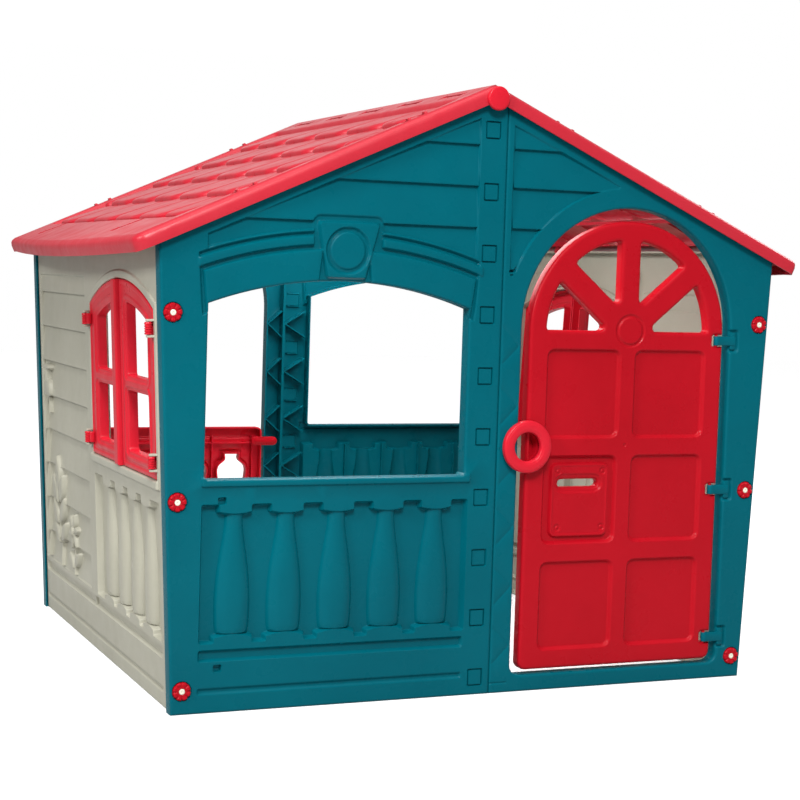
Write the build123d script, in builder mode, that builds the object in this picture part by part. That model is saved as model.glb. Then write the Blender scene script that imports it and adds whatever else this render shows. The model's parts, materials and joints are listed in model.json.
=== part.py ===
from build123d import *
import os
from math import cos, hypot, radians, sin, tan

# A child's plastic playhouse. Millimetres, +Z up, the front door on the -Y side.
# The origin is on the ground, at the centre of the footprint.
# Each moulding is used twice: the rear half of the house is the front half turned half a turn.

os.makedirs("parts", exist_ok=True)

# ---------------------------------------------------------------- driving dimensions
half_depth = 528            # centre of the house to the outer face of an end wall
base_half_width = 581       # centre to the outer edge of an end wall, at the ground
flare = 0.047               # how far each side leans out, per mm of height
wall_skin = 3               # thickness of the moulded walls
end_wall_depth = 28         # depth of the flange round an end wall
side_wall_depth = 34        # depth of the flange round a side wall
side_wall_inset = 5         # a side wall sits this far inside the edge of the end walls
seam = 30                   # where the window wall and the door wall meet

roof_angle = 24.1           # slope of both roof panels, degrees
ridge_height = 1123         # top of the ridge
roof_skin = 3
roof_rim = 28               # depth of the rolled edge, square to the slope
roof_overhang = 14          # how far the roof stands in front of an end wall
eave_half_width = 664       # centre to the eave at its two corners
eave_bow = 20               # the eave bows out this much more at its middle
cap_height = 1097           # centre of the round caps on the ends of the ridge
cap_radius = 22
cap_thickness = 8
peg_radius = 8
peg_length = 36

snap_pitch = 112            # spacing of the snap squares up the column
snap_count = 10
lowest_snap = 33
snap_width = 28
snap_height = 30

bolt_heights = (42, 372, 698)
bolt_inset = 21             # centre of a corner bolt from the outer edge
bolt_radius = 6.5
nut_radius = 18
nut_thickness = 7
nut_recess = 3              # the nuts sit this deep in the wall
nut_seat_radius = 19
bolt_head_radius = 10.5
bolt_head_thickness = 4

window_left, window_right = -530, -36
window_bottom, window_spring, window_top = 410, 715, 759

doorway_left, doorway_right = 73, 527
doorway_bottom = 31
doorway_spring = 685

door_left, door_right = 87, 514
door_bottom, door_spring = 39, 677
door_thickness = 22
door_setback = 4            # door face behind the wall face
hinge_axis = 500            # door hinge axis from the centre of the house
hinge_depth = 8             # door hinge axis behind the wall face
clip_heights = (82, 374, 665)
clip_height = 20
clip_head = (15, 36, 20)    # width, height and depth of a clip's T head
clip_block = (22, 48)       # block round it in the door post

half_door_left = 78
half_door_top = 405
latch_pivot = (50, 373)
latch_pin_radius = 4

shutter_thickness = 22
shutter_face = 3            # shutter face in front of the side wall face
barrel_radius = 8
barrel_offset = 11.5        # shutter hinge axis in front of the side wall face
barrel_heights = (435, 669)

baluster_pitch = 96

# ---------------------------------------------------------------- places worked out from them
roof_slope = tan(radians(roof_angle))
gable_top = ridge_height - roof_skin / cos(radians(roof_angle))
eave_height = (gable_top - roof_slope * base_half_width) / (1 + roof_slope * flare)
eave_width = base_half_width + flare * eave_height
side_half_length = half_depth - end_wall_depth
side_wall_height = eave_height - 2
snap_heights = [lowest_snap + snap_pitch * step for step in range(snap_count)]

front_face = Plane(origin=(0, -half_depth, 0), x_dir=(1, 0, 0), z_dir=(0, -1, 0))
rear_face = Plane(origin=(0, half_depth, 0), x_dir=(-1, 0, 0), z_dir=(0, 1, 0))
left_face = Plane(origin=(-base_half_width, 0, 0), x_dir=(0, -1, 0), z_dir=(-1, 0, -flare))
right_face = Plane(origin=(base_half_width, 0, 0), x_dir=(0, 1, 0), z_dir=(1, 0, -flare))
left_face = left_face.offset(-side_wall_inset)
right_face = right_face.offset(-side_wall_inset)


def gable(across):
    """Height of the top edge of an end wall, at a distance from the centre."""
    return gable_top - roof_slope * abs(across)


def edge_at(height):
    """Distance from the centre to the outer edge of an end wall, at a height."""
    return base_half_width + flare * height


def section(face, along):
    """Plane across a wall, at a place along it: x points outward and y up the wall."""
    return Plane(face.from_local_coords((along, 0, 0)), x_dir=face.z_dir, z_dir=-face.x_dir)


def shelf(face, height):
    """Level plane across a wall, at a height: x runs along the wall and y inward."""
    return Plane(face.from_local_coords((0, height, 0)), x_dir=face.x_dir, z_dir=face.y_dir)


def finish(part, name):
    """Label one finished piece and write it out."""
    part.label = name
    export_step(part, f"parts/{name}.step")
    print(name, round(part.volume / 1000), "cm3", len(part.solids()), "solids")


# ---------------------------------------------------------------- outlines shared by several pieces
with BuildSketch() as window_wall_outline:
    with BuildLine():
        Polyline(
            (-base_half_width, 0),
            (seam, 0),
            (seam, gable(seam)),
            (0, gable(0)),
            (-eave_width, eave_height),
            close=True,
        )
    make_face()

window_middle = (window_left + window_right) / 2
with BuildSketch() as window_opening:
    with BuildLine():
        Polyline(
            (window_left, window_spring),
            (window_left, window_bottom),
            (window_right, window_bottom),
            (window_right, window_spring),
        )
        ThreePointArc(
            (window_right, window_spring), (window_middle, window_top), (window_left, window_spring)
        )
    make_face()
    fillet(window_opening.vertices().group_by(Axis.Y)[0], 10)

# Arch moulding over the window: a ring about the same centre as the window arch.
window_half = (window_right - window_left) / 2
window_rise = window_top - window_spring
window_arch_radius = (window_half**2 + window_rise**2) / (2 * window_rise)
window_arch_centre = window_top - window_arch_radius
moulding_radius = window_arch_radius + 82
board_left, board_right = -533, -25
board_border = 46           # flat border under the roof line, measured upright
keystone_left, keystone_right = -351, -210
keystone_middle = -277
keystone_top = 865
medallion_height = 813
medallion_outer, medallion_inner = 41, 36
board_lips = (788, 864, 939, 1014, 1090)    # bottom edges of the gable boards
board_depth = 8

with BuildSketch() as window_boards:
    with BuildLine():
        Polyline(
            (board_left, 760),
            (board_right, 760),
            (board_right, gable(board_right) - board_border),
            (board_left, gable(board_left) - board_border),
            close=True,
        )
    make_face()
    with Locations((window_middle, window_arch_centre)):
        Circle(moulding_radius, mode=Mode.SUBTRACT)
    with Locations((keystone_middle, keystone_top - 80)):
        Rectangle(keystone_right - keystone_left, 160, mode=Mode.SUBTRACT)

with BuildSketch() as keystone:
    with BuildLine():
        Polyline((-334, 863), (-216, 865), (-240, 767), (-317, 767), close=True)
    make_face()
    fillet(keystone.vertices(), 5)

recess_left, recess_right = -532, -29
recess_bottom, recess_top = 125, 365
recess_middle = ((recess_left + recess_right) / 2, (recess_bottom + recess_top) / 2)
recess_size = (recess_right - recess_left, recess_top - recess_bottom)
recess_depth = 12
baluster_middles = [-280.5 + baluster_pitch * step for step in range(-2, 3)]
tab_half_width = 30.5
tab_drop = 15
cap_half_width = 37
cap_rise = 20
base_grooves = ((101, 17), (39, 7))     # height and width of each groove
baluster_height = 9
boss_radius = 13

with BuildSketch() as scallop:
    with BuildLine():
        Polyline((-tab_half_width, 11 - tab_drop), (-tab_half_width, 5), (tab_half_width, 5),
                 (tab_half_width, 11 - tab_drop))
        ThreePointArc((tab_half_width, 11 - tab_drop), (0, -tab_drop), (-tab_half_width, 11 - tab_drop))
    make_face()

with BuildSketch() as base_cap:
    with BuildLine():
        Polyline((-cap_half_width, 9), (-cap_half_width, -5), (cap_half_width, -5), (cap_half_width, 9))
        ThreePointArc((cap_half_width, 9), (0, cap_rise), (-cap_half_width, 9))
    make_face()

# Bottle-shaped baluster, drawn about its own axis with its foot at zero.
baluster_profile = [(31, 0), (34, 60), (28, 120), (17, 175), (13.5, 196), (13, 230)]
with BuildSketch() as baluster:
    with BuildLine():
        Spline(*[(wide, high) for wide, high in baluster_profile])
        Spline(*[(-wide, high) for wide, high in baluster_profile])
        Line((-31, 0), (31, 0))
        Line((-13, 230), (13, 230))
    make_face()

with BuildSketch() as door_wall_outline:
    with BuildLine():
        Polyline(
            (seam, 0),
            (base_half_width, 0),
            (eave_width, eave_height),
            (seam, gable(seam)),
            close=True,
        )
    make_face()

doorway_radius = (doorway_right - doorway_left) / 2
doorway_middle = (doorway_left + doorway_right) / 2
trim_radius = doorway_radius + 38
with BuildSketch() as doorway:
    with BuildLine():
        Polyline(
            (doorway_left, doorway_spring),
            (doorway_left, doorway_bottom),
            (doorway_right, doorway_bottom),
            (doorway_right, doorway_spring),
        )
        ThreePointArc(
            (doorway_right, doorway_spring),
            (doorway_middle, doorway_spring + doorway_radius),
            (doorway_left, doorway_spring),
        )
    make_face()
    fillet(doorway.vertices().group_by(Axis.Y)[0], 20)

door_board_left = 44
with BuildSketch() as door_boards:
    with BuildLine():
        Polyline(
            (door_board_left, 800),
            (270, 800),
            (270, gable(270) - board_border),
            (door_board_left, gable(door_board_left) - board_border),
            close=True,
        )
    make_face()
    with Locations((doorway_middle, doorway_spring)):
        Circle(trim_radius, mode=Mode.SUBTRACT)

side_window_left, side_window_right = -8, 466
side_window_bottom, side_window_spring, side_window_top = 402, 701, 752
side_window_middle = (side_window_left + side_window_right) / 2


def side_window(clearance):
    """Outline of the arched side window, made smaller all round by a clearance."""
    with BuildSketch() as outline:
        with BuildLine():
            Polyline(
                (side_window_left, side_window_spring),
                (side_window_left, side_window_bottom),
                (side_window_right, side_window_bottom),
                (side_window_right, side_window_spring),
            )
            ThreePointArc(
                (side_window_right, side_window_spring),
                (side_window_middle, side_window_top),
                (side_window_left, side_window_spring),
            )
        make_face()
        if clearance:
            offset(amount=-clearance, kind=Kind.INTERSECTION)
    return outline.sketch


def zigzag(near, far, lowest, count):
    """Truss ribs between two uprights: out to the far one midway between two snap squares."""
    with BuildSketch() as ribs:
        for step in range(count):
            base = lowest + snap_pitch * step
            with BuildLine():
                Polyline(
                    (near, base + 25),
                    (far, base + snap_pitch / 2),
                    (near, base + snap_pitch - 25),
                )
            trace(line_width=3)
    return ribs.sketch


def board_wedges(face, lips, reach, middle):
    """What is cut away in front of a set of boards, each flush at its lip and deep at its top."""
    with BuildPart() as wedges:
        for lower, upper in zip(lips, lips[1:]):
            with BuildSketch(section(face, middle + reach)):
                with BuildLine():
                    Polyline((1, lower), (1, upper), (-board_depth, upper), (-1, lower), close=True)
                make_face()
            extrude(amount=2 * reach)
    return wedges.part


def board_hollows(face, lips, reach, middle, depth):
    """The hollow behind a set of boards, which keeps the same skin at every lip."""
    lip_inner, top_inner = -1 - wall_skin, -board_depth - wall_skin
    with BuildPart() as hollows:
        for lower, upper in zip(lips, lips[1:]):
            with BuildSketch(section(face, middle + reach)):
                with BuildLine():
                    Polyline(
                        (-depth, lower + wall_skin),
                        (lip_inner, lower + wall_skin),
                        (top_inner, upper),
                        (top_inner, upper + wall_skin),
                        (-depth, upper + wall_skin),
                        close=True,
                    )
                make_face()
            extrude(amount=2 * reach)
    return hollows.part


# ---------------------------------------------------------------- end walls
def window_wall(face, name):
    """End wall with the window, the baluster panel and the snap column."""
    back = face.offset(-end_wall_depth)
    wedges = board_wedges(face, board_lips, 300, window_middle)
    hollows = board_hollows(face, board_lips, 300, window_middle, end_wall_depth + 1)
    with BuildPart() as boards:
        with BuildSketch(face):
            add(window_boards.sketch)
        extrude(amount=-board_depth)
        add(wedges, mode=Mode.INTERSECT)
    with BuildPart() as behind_boards:
        with BuildSketch(back):
            offset(window_boards.sketch, amount=wall_skin, kind=Kind.INTERSECTION)
            offset(window_opening.sketch, amount=wall_skin, mode=Mode.SUBTRACT)
        extrude(amount=end_wall_depth)
        add(hollows, mode=Mode.INTERSECT)
    with BuildPart() as wall:
        with BuildSketch(face):
            add(window_wall_outline.sketch)
            add(window_opening.sketch, mode=Mode.SUBTRACT)
        extrude(amount=-end_wall_depth)
        # Shallow hollow everywhere, then a deeper one where the face isn't recessed.
        with BuildSketch(back):
            offset(window_wall_outline.sketch, amount=-wall_skin, kind=Kind.INTERSECTION)
            offset(window_opening.sketch, amount=wall_skin, mode=Mode.SUBTRACT)
        extrude(amount=end_wall_depth - wall_skin - recess_depth, mode=Mode.SUBTRACT)
        with BuildSketch(back):
            offset(window_wall_outline.sketch, amount=-wall_skin, kind=Kind.INTERSECTION)
            offset(window_opening.sketch, amount=wall_skin, mode=Mode.SUBTRACT)
            offset(window_boards.sketch, amount=wall_skin, kind=Kind.INTERSECTION, mode=Mode.SUBTRACT)
            with Locations(recess_middle):
                Rectangle(
                    recess_size[0] + 2 * wall_skin, recess_size[1] + 2 * wall_skin, mode=Mode.SUBTRACT
                )
        extrude(amount=end_wall_depth - wall_skin, mode=Mode.SUBTRACT)
        # Gable boards and the baluster recess.
        add(behind_boards.part, mode=Mode.SUBTRACT)
        add(boards.part, mode=Mode.SUBTRACT)
        with BuildSketch(face):
            with Locations(recess_middle):
                Rectangle(*recess_size)
            with Locations([(middle, recess_top) for middle in baluster_middles]):
                add(scallop.sketch, mode=Mode.SUBTRACT)
            with Locations([(middle, recess_bottom) for middle in baluster_middles]):
                add(base_cap.sketch, mode=Mode.SUBTRACT)
        extrude(amount=-recess_depth, mode=Mode.SUBTRACT)
        with BuildSketch(face.offset(-recess_depth - 1)):
            with Locations([(middle, recess_bottom) for middle in baluster_middles]):
                add(baluster.sketch)
        extrude(amount=baluster_height)
        # Grooves below the balusters.
        with BuildSketch(face):
            for height, width in base_grooves:
                with Locations((recess_middle[0], height)):
                    Rectangle(recess_size[0], width)
        extrude(amount=-2, mode=Mode.SUBTRACT)
        # Window sill, keystone and the ring on the keystone.
        with BuildSketch(face):
            with Locations((window_middle, 404)):
                RectangleRounded(window_right - window_left + 8, 12, 4)
            add(keystone.sketch)
        extrude(amount=4)
        with BuildSketch(face.offset(4)):
            with Locations((keystone_middle, medallion_height)):
                Circle(medallion_outer)
                Circle(medallion_inner, mode=Mode.SUBTRACT)
        extrude(amount=-2, mode=Mode.SUBTRACT)
        # Truss ribs inside the column.
        with BuildSketch(back):
            add(zigzag(seam - wall_skin, window_right + wall_skin, lowest_snap, 6))
        extrude(amount=end_wall_depth - wall_skin)
        # Bosses round the corner bolts.
        bolts = [(-edge_at(height) + bolt_inset, height) for height in bolt_heights]
        with BuildSketch(back):
            with Locations(bolts):
                Circle(boss_radius)
        extrude(amount=end_wall_depth - wall_skin)
        with BuildSketch(face.offset(-wall_skin)):
            with Locations(bolts):
                Circle(nut_seat_radius + wall_skin)
            add(window_wall_outline.sketch, mode=Mode.INTERSECT)
        extrude(amount=-nut_recess)
        with BuildSketch(face):
            with Locations(bolts):
                Circle(nut_seat_radius)
        extrude(amount=-nut_recess, mode=Mode.SUBTRACT)
        with BuildSketch(face):
            with Locations(bolts):
                Circle(bolt_radius + 0.5)
        extrude(amount=-end_wall_depth, mode=Mode.SUBTRACT)
        # Square windows that the snap tongues of the door wall fill, and their way through the flange.
        with BuildSketch(face):
            with Locations([(0, height) for height in snap_heights]):
                Rectangle(snap_width, snap_height)
        extrude(amount=-wall_skin - 6, mode=Mode.SUBTRACT)
        with BuildSketch(section(face, seam + 1)):
            with Locations([(-wall_skin - 3, height) for height in snap_heights]):
                Rectangle(6, snap_height)
        extrude(amount=wall_skin + 2, mode=Mode.SUBTRACT)
        # Hole for the ridge cap peg.
        with BuildSketch(face):
            with Locations((0, cap_height)):
                Circle(peg_radius + 0.4)
        extrude(amount=-end_wall_depth, mode=Mode.SUBTRACT)
    finish(wall.part, name)


def door_wall(face, name):
    """End wall with the arched doorway, and the snap tongues that hold it to the window wall."""
    back = face.offset(-end_wall_depth)
    wedges = board_wedges(face, board_lips, 130, 160)
    hollows = board_hollows(face, board_lips, 130, 160, end_wall_depth + 1)
    with BuildPart() as boards:
        with BuildSketch(face):
            add(door_boards.sketch)
        extrude(amount=-board_depth)
        add(wedges, mode=Mode.INTERSECT)
    with BuildPart() as behind_boards:
        with BuildSketch(back):
            offset(door_boards.sketch, amount=wall_skin, kind=Kind.INTERSECTION)
            offset(doorway.sketch, amount=wall_skin, mode=Mode.SUBTRACT)
        extrude(amount=end_wall_depth)
        add(hollows, mode=Mode.INTERSECT)
    with BuildPart() as wall:
        with BuildSketch(face):
            add(door_wall_outline.sketch)
            add(doorway.sketch, mode=Mode.SUBTRACT)
        extrude(amount=-end_wall_depth)
        with BuildSketch(back):
            offset(door_wall_outline.sketch, amount=-wall_skin, kind=Kind.INTERSECTION)
            offset(doorway.sketch, amount=wall_skin, mode=Mode.SUBTRACT)
            offset(door_boards.sketch, amount=wall_skin, kind=Kind.INTERSECTION, mode=Mode.SUBTRACT)
        extrude(amount=end_wall_depth - wall_skin, mode=Mode.SUBTRACT)
        # Gable boards, hollow behind.
        add(behind_boards.part, mode=Mode.SUBTRACT)
        add(boards.part, mode=Mode.SUBTRACT)
        # Truss ribs in the strip beside the doorway.
        with BuildSketch(back):
            add(zigzag(seam + wall_skin, doorway_left - wall_skin, lowest_snap, 6))
        extrude(amount=end_wall_depth - wall_skin)
        # Bosses and holes for the corner bolts.
        bolts = [(edge_at(height) - bolt_inset, height) for height in bolt_heights]
        with BuildSketch(back):
            with Locations(bolts):
                Circle(boss_radius)
            with Locations(latch_pivot):
                Circle(9)
        extrude(amount=end_wall_depth - wall_skin)
        with BuildSketch(face.offset(-wall_skin)):
            with Locations(bolts):
                Circle(nut_seat_radius + wall_skin)
            add(door_wall_outline.sketch, mode=Mode.INTERSECT)
        extrude(amount=-nut_recess)
        with BuildSketch(face):
            with Locations(bolts):
                Circle(nut_seat_radius)
        extrude(amount=-nut_recess, mode=Mode.SUBTRACT)
        with BuildSketch(face):
            with Locations(bolts):
                Circle(bolt_radius + 0.5)
        extrude(amount=-end_wall_depth, mode=Mode.SUBTRACT)
        with BuildSketch(back):
            with Locations(latch_pivot):
                Circle(latch_pin_radius + 0.3)
        extrude(amount=20, mode=Mode.SUBTRACT)
        # Blocks in the door post with a slot for the head of each hinge clip.
        with BuildSketch(face):
            with Locations([(doorway_right + clip_block[0] / 2, height) for height in clip_heights]):
                Rectangle(*clip_block)
        extrude(amount=-end_wall_depth)
        with BuildSketch(face):
            with Locations([(doorway_right + clip_head[0] / 2, height) for height in clip_heights]):
                Rectangle(clip_head[0] + 2, clip_head[1] + 1)
        extrude(amount=-clip_head[2] - 2, mode=Mode.SUBTRACT)
        # Snap tongues that reach behind the column and show in its square windows.
        with BuildSketch(section(face, seam + wall_skin)):
            with Locations([(-wall_skin - 3, height) for height in snap_heights]):
                Rectangle(4, snap_height - 4)
        extrude(amount=seam + wall_skin + snap_width / 2 - 1)
        with BuildSketch(face.offset(-1)):
            with Locations([(0, height) for height in snap_heights]):
                Rectangle(snap_width - 2, snap_height - 4)
        extrude(amount=-wall_skin - 1)
    finish(wall.part, name)


for face, end in ((front_face, "front"), (rear_face, "rear")):
    window_wall(face, f"{end}_window_wall")
    door_wall(face, f"{end}_door_wall")


# ---------------------------------------------------------------- side walls
siding_left, siding_right = -487, -62
siding_bottom, siding_top = 120, 750
siding_lips = (110, 184, 260, 336, 411, 486, 562, 638, 713, 788)
rim_width = 10
rim_height = 3
lug_thickness = 4
lug_gap = 28                # between the two lugs of one shutter barrel
lug_pin_radius = 3
side_recess_bottom, side_recess_top = 119, 360
side_recess_middle = (side_window_middle, (side_recess_bottom + side_recess_top) / 2)
side_recess_size = (side_window_right - side_window_left, side_recess_top - side_recess_bottom)
side_base_grooves = ((99, 17), (33, 7))
siding_middle = ((siding_left + siding_right) / 2, (siding_bottom + siding_top) / 2)
siding_size = (siding_right - siding_left, siding_top - siding_bottom)
side_baluster_middles = [side_window_middle + baluster_pitch * (step - 1.5) for step in range(4)]


with BuildSketch() as inner_outline:
    with Locations((0, side_wall_height / 2)):
        Rectangle(2 * (side_half_length - wall_skin), side_wall_height - 2 * wall_skin)


def side_wall(face, name):
    """Side wall: siding in one half, an arched window over a baluster panel in the other."""
    back = face.offset(-side_wall_depth)
    wedges = board_wedges(face, siding_lips, 230, siding_middle[0])
    hollows = board_hollows(face, siding_lips, 230, siding_middle[0], side_wall_depth + 1)
    with BuildPart() as boards:
        with BuildSketch(face):
            with Locations(siding_middle):
                Rectangle(*siding_size)
        extrude(amount=-board_depth)
        add(wedges, mode=Mode.INTERSECT)
    with BuildPart() as behind_boards:
        with BuildSketch(back):
            with Locations(siding_middle):
                Rectangle(siding_size[0] + 2 * wall_skin, siding_size[1] + 2 * wall_skin)
        extrude(amount=side_wall_depth)
        add(hollows, mode=Mode.INTERSECT)
    with BuildPart() as wall:
        with BuildSketch(face):
            with Locations((0, side_wall_height / 2)):
                Rectangle(2 * side_half_length, side_wall_height)
            add(side_window(0), mode=Mode.SUBTRACT)
        extrude(amount=-side_wall_depth)
        # Hollow back, shallower behind the siding and the baluster recess.
        with BuildSketch(back):
            add(inner_outline.sketch)
            add(side_window(-wall_skin), mode=Mode.SUBTRACT)
        extrude(amount=side_wall_depth - wall_skin - recess_depth, mode=Mode.SUBTRACT)
        with BuildSketch(back):
            add(inner_outline.sketch)
            add(side_window(-wall_skin), mode=Mode.SUBTRACT)
            with Locations(siding_middle):
                Rectangle(
                    siding_size[0] + 2 * wall_skin, siding_size[1] + 2 * wall_skin, mode=Mode.SUBTRACT
                )
            with Locations(side_recess_middle):
                Rectangle(
                    side_recess_size[0] + 2 * wall_skin,
                    side_recess_size[1] + 2 * wall_skin,
                    mode=Mode.SUBTRACT,
                )
        extrude(amount=side_wall_depth - wall_skin, mode=Mode.SUBTRACT)
        # Siding boards, hollow behind, and the baluster recess.
        add(behind_boards.part, mode=Mode.SUBTRACT)
        add(boards.part, mode=Mode.SUBTRACT)
        with BuildSketch(face):
            with Locations(side_recess_middle):
                Rectangle(*side_recess_size)
            with Locations([(middle, side_recess_top) for middle in side_baluster_middles]):
                add(scallop.sketch, mode=Mode.SUBTRACT)
            with Locations([(middle, side_recess_bottom) for middle in side_baluster_middles]):
                add(base_cap.sketch, mode=Mode.SUBTRACT)
        extrude(amount=-recess_depth, mode=Mode.SUBTRACT)
        with BuildSketch(face.offset(-recess_depth - 1)):
            with Locations([(middle, side_recess_bottom) for middle in side_baluster_middles]):
                add(baluster.sketch)
        extrude(amount=baluster_height)
        # Grooves along the base.
        with BuildSketch(face):
            for height, width in side_base_grooves:
                with Locations(((siding_left + side_window_right) / 2, height)):
                    Rectangle(side_window_right - siding_left, width)
        extrude(amount=-2, mode=Mode.SUBTRACT)
        # Raised rim round the window and the sill under it.
        with BuildSketch(face):
            add(side_window(-rim_width))
            add(side_window(0), mode=Mode.SUBTRACT)
            with Locations((side_window_middle, side_window_bottom - 7)):
                Rectangle(side_window_right - side_window_left + 2 * rim_width, 14)
        extrude(amount=rim_height)
        # Lugs and pins that carry the shutter barrels.
        for edge, out in ((side_window_left, -1), (side_window_right, 1)):
            for height in barrel_heights:
                for shift in (-lug_gap / 2, lug_gap / 2):
                    with BuildSketch(shelf(face, height + shift)):
                        with Locations((edge, -barrel_offset)):
                            Circle(4.5)
                        with Locations((edge + out * 5, -barrel_offset / 2)):
                            Rectangle(10, barrel_offset)
                    extrude(amount=lug_thickness / 2, both=True)
                with BuildSketch(shelf(face, height)):
                    with Locations((edge, -barrel_offset)):
                        Circle(lug_pin_radius)
                extrude(amount=lug_gap / 2, both=True)
        # Bolt holes in the two end flanges, level with the holes in the end walls.
        lean = hypot(1, flare)
        hole_heights = [height * lean - bolt_inset * flare for height in bolt_heights]
        for end in (-1, 1):
            with BuildSketch(section(face, end * (side_half_length + 1))):
                with Locations([(side_wall_inset - bolt_inset, height) for height in hole_heights]):
                    Circle(bolt_radius + 0.7)
            extrude(amount=end * (wall_skin + 2), mode=Mode.SUBTRACT)
    finish(wall.part, name)


for face, side in ((left_face, "left"), (right_face, "right")):
    side_wall(face, f"{side}_side_wall")


# ---------------------------------------------------------------- roof
roof_half_length = half_depth + roof_overhang
slope_length = eave_half_width / cos(radians(roof_angle))
slope_bow = eave_bow / cos(radians(roof_angle))
course_ends = [181 + snap_pitch * step for step in range(5)]   # lower ends of the shingle courses
course_step = 4
roof_edge = 5               # thickness of the rolled edge
field_half_length = side_half_length - 10


def roof_panel(side, name):
    """One roof panel: a thin skin with a deep edge on three sides and five stepped courses."""
    angle = radians(roof_angle)
    slope = Plane(
        origin=(0, 0, ridge_height),
        x_dir=(side * cos(angle), 0, -sin(angle)),
        z_dir=(side * sin(angle), 0, cos(angle)),
    )
    with BuildSketch() as outline:
        with BuildLine():
            Polyline(
                (slope_length, -roof_half_length),
                (-20, -roof_half_length),
                (-20, roof_half_length),
                (slope_length, roof_half_length),
            )
            ThreePointArc(
                (slope_length, roof_half_length),
                (slope_length + slope_bow, 0),
                (slope_length, -roof_half_length),
            )
        make_face()
        fillet(outline.vertices().group_by(Axis.X)[-1], 26)
    field_top = course_ends[0] - snap_pitch
    field_middle = ((field_top + course_ends[-1]) / 2, 0)
    field_size = (course_ends[-1] - field_top, 2 * field_half_length)
    with BuildPart() as panel:
        with BuildSketch(slope):
            add(outline.sketch)
        extrude(amount=-roof_rim)
        # Hollow underneath, open along the ridge, and shallower behind the shingle field.
        with BuildSketch(slope.offset(-roof_rim)):
            offset(outline.sketch, amount=-roof_edge, kind=Kind.INTERSECTION)
            with Locations((-10, 0)):
                Rectangle(40, 2 * (roof_half_length - roof_edge))
            with Locations(field_middle):
                Rectangle(
                    field_size[0] + 2 * roof_skin, field_size[1] + 2 * roof_skin, mode=Mode.SUBTRACT
                )
        extrude(amount=roof_rim - roof_skin, mode=Mode.SUBTRACT)
        # Each course starts deep, under the one above, and ends level with the border.
        down_slope = Plane(slope.origin, x_dir=slope.x_dir, z_dir=-slope.y_dir)
        deep_inner = -course_step - roof_skin
        for lower in course_ends:
            upper = lower - snap_pitch
            with BuildSketch(down_slope):
                with BuildLine():
                    Polyline((upper, 1), (upper, -course_step), (lower, -0.5), (lower, 1), close=True)
                make_face()
            extrude(amount=field_half_length, both=True, mode=Mode.SUBTRACT)
            with BuildSketch(down_slope):
                with BuildLine():
                    Polyline(
                        (upper - roof_skin, -roof_rim),
                        (upper - roof_skin, deep_inner),
                        (upper, deep_inner),
                        (lower - roof_skin, -1 - roof_skin),
                        (lower - roof_skin, -roof_rim),
                        close=True,
                    )
                make_face()
            extrude(amount=field_half_length + roof_skin, both=True, mode=Mode.SUBTRACT)
        split(bisect_by=Plane.YZ, keep=Keep.TOP if side > 0 else Keep.BOTTOM)
        # Half of the hole for the ridge cap pegs.
        with BuildSketch(Plane.XZ):
            with Locations((0, cap_height)):
                Circle(peg_radius + 0.4)
        extrude(amount=2 * roof_half_length, both=True, mode=Mode.SUBTRACT)
    finish(panel.part, name)


roof_panel(-1, "roof_left")
roof_panel(1, "roof_right")


def ridge_cap(face, name):
    """Round cap at the end of the ridge, with a peg through the rims and the gable."""
    outward = Axis((0, 0, 0), face.z_dir)
    with BuildPart() as cap:
        with BuildSketch(face.offset(roof_overhang)):
            with Locations((0, cap_height)):
                Circle(cap_radius)
        extrude(amount=cap_thickness)
        fillet(cap.faces().sort_by(outward)[-1].edges(), 3)
        with BuildSketch(face.offset(roof_overhang)):
            with Locations((0, cap_height)):
                Circle(peg_radius)
        extrude(amount=-peg_length)
    finish(cap.part, name)


ridge_cap(front_face, "ridge_cap_front")
ridge_cap(rear_face, "ridge_cap_rear")


# ---------------------------------------------------------------- front door and its ring handle
door_face = front_face.offset(-door_setback)
door_back = front_face.offset(-door_setback - door_thickness)
door_middle = (door_left + door_right) / 2
door_radius = (door_right - door_left) / 2
door_panel_depth = 8
notch_left = hinge_axis - 17
notch_height = clip_height + 6
hinge_pin_radius = 3.5
clip_ring_radius = 8

fan_centre = (303, 677)
fan_radius = 175
fan_sill = 680
spoke_width = 42
diagonal_width = 46
panel_columns = (209, 397)
panel_rows = (159, 361, 561)
panel_width, panel_height = 153, 164
letter_plate = (209, 360)
letter_slot = (208, 391)

ring_centre = (door_left, 463)
ring_outer, ring_inner = 49, 27
ring_thickness = 14
ring_gap = 2                # the ring stands this far in front of the wall face
foot_radius, foot_pin_radius = 7, 4
foot_places = [(ring_centre[0] + 19, ring_centre[1] - 33), (ring_centre[0] + 19, ring_centre[1] + 33)]

with BuildSketch() as door_outline:
    with BuildLine():
        Polyline(
            (door_left, door_spring),
            (door_left, door_bottom),
            (door_right, door_bottom),
            (door_right, door_spring),
        )
        ThreePointArc(
            (door_right, door_spring), (door_middle, door_spring + door_radius), (door_left, door_spring)
        )
    make_face()
    fillet(door_outline.vertices().group_by(Axis.Y)[0], 16)

with BuildSketch() as fan_openings:
    with Locations(fan_centre):
        Circle(fan_radius)
        Rectangle(spoke_width, 2 * fan_radius + 10, mode=Mode.SUBTRACT)
        Rectangle(2 * fan_radius + 10, diagonal_width, rotation=40, mode=Mode.SUBTRACT)
        Rectangle(2 * fan_radius + 10, diagonal_width, rotation=140, mode=Mode.SUBTRACT)
    with Locations((fan_centre[0], fan_sill)):
        Rectangle(2 * fan_radius + 10, fan_radius + 10, align=(Align.CENTER, Align.MAX), mode=Mode.SUBTRACT)
    fillet(fan_openings.vertices(), 7)


def hinge_blocks(margin, heights):
    """Patches at the hinge edge of a door, at the height of each clip."""
    with BuildSketch() as blocks:
        with Locations([(notch_left - margin, height) for height in heights]):
            Rectangle(
                door_right - notch_left + margin + 1,
                notch_height + 2 * margin,
                align=(Align.MIN, Align.CENTER),
            )
    return blocks.sketch


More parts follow.
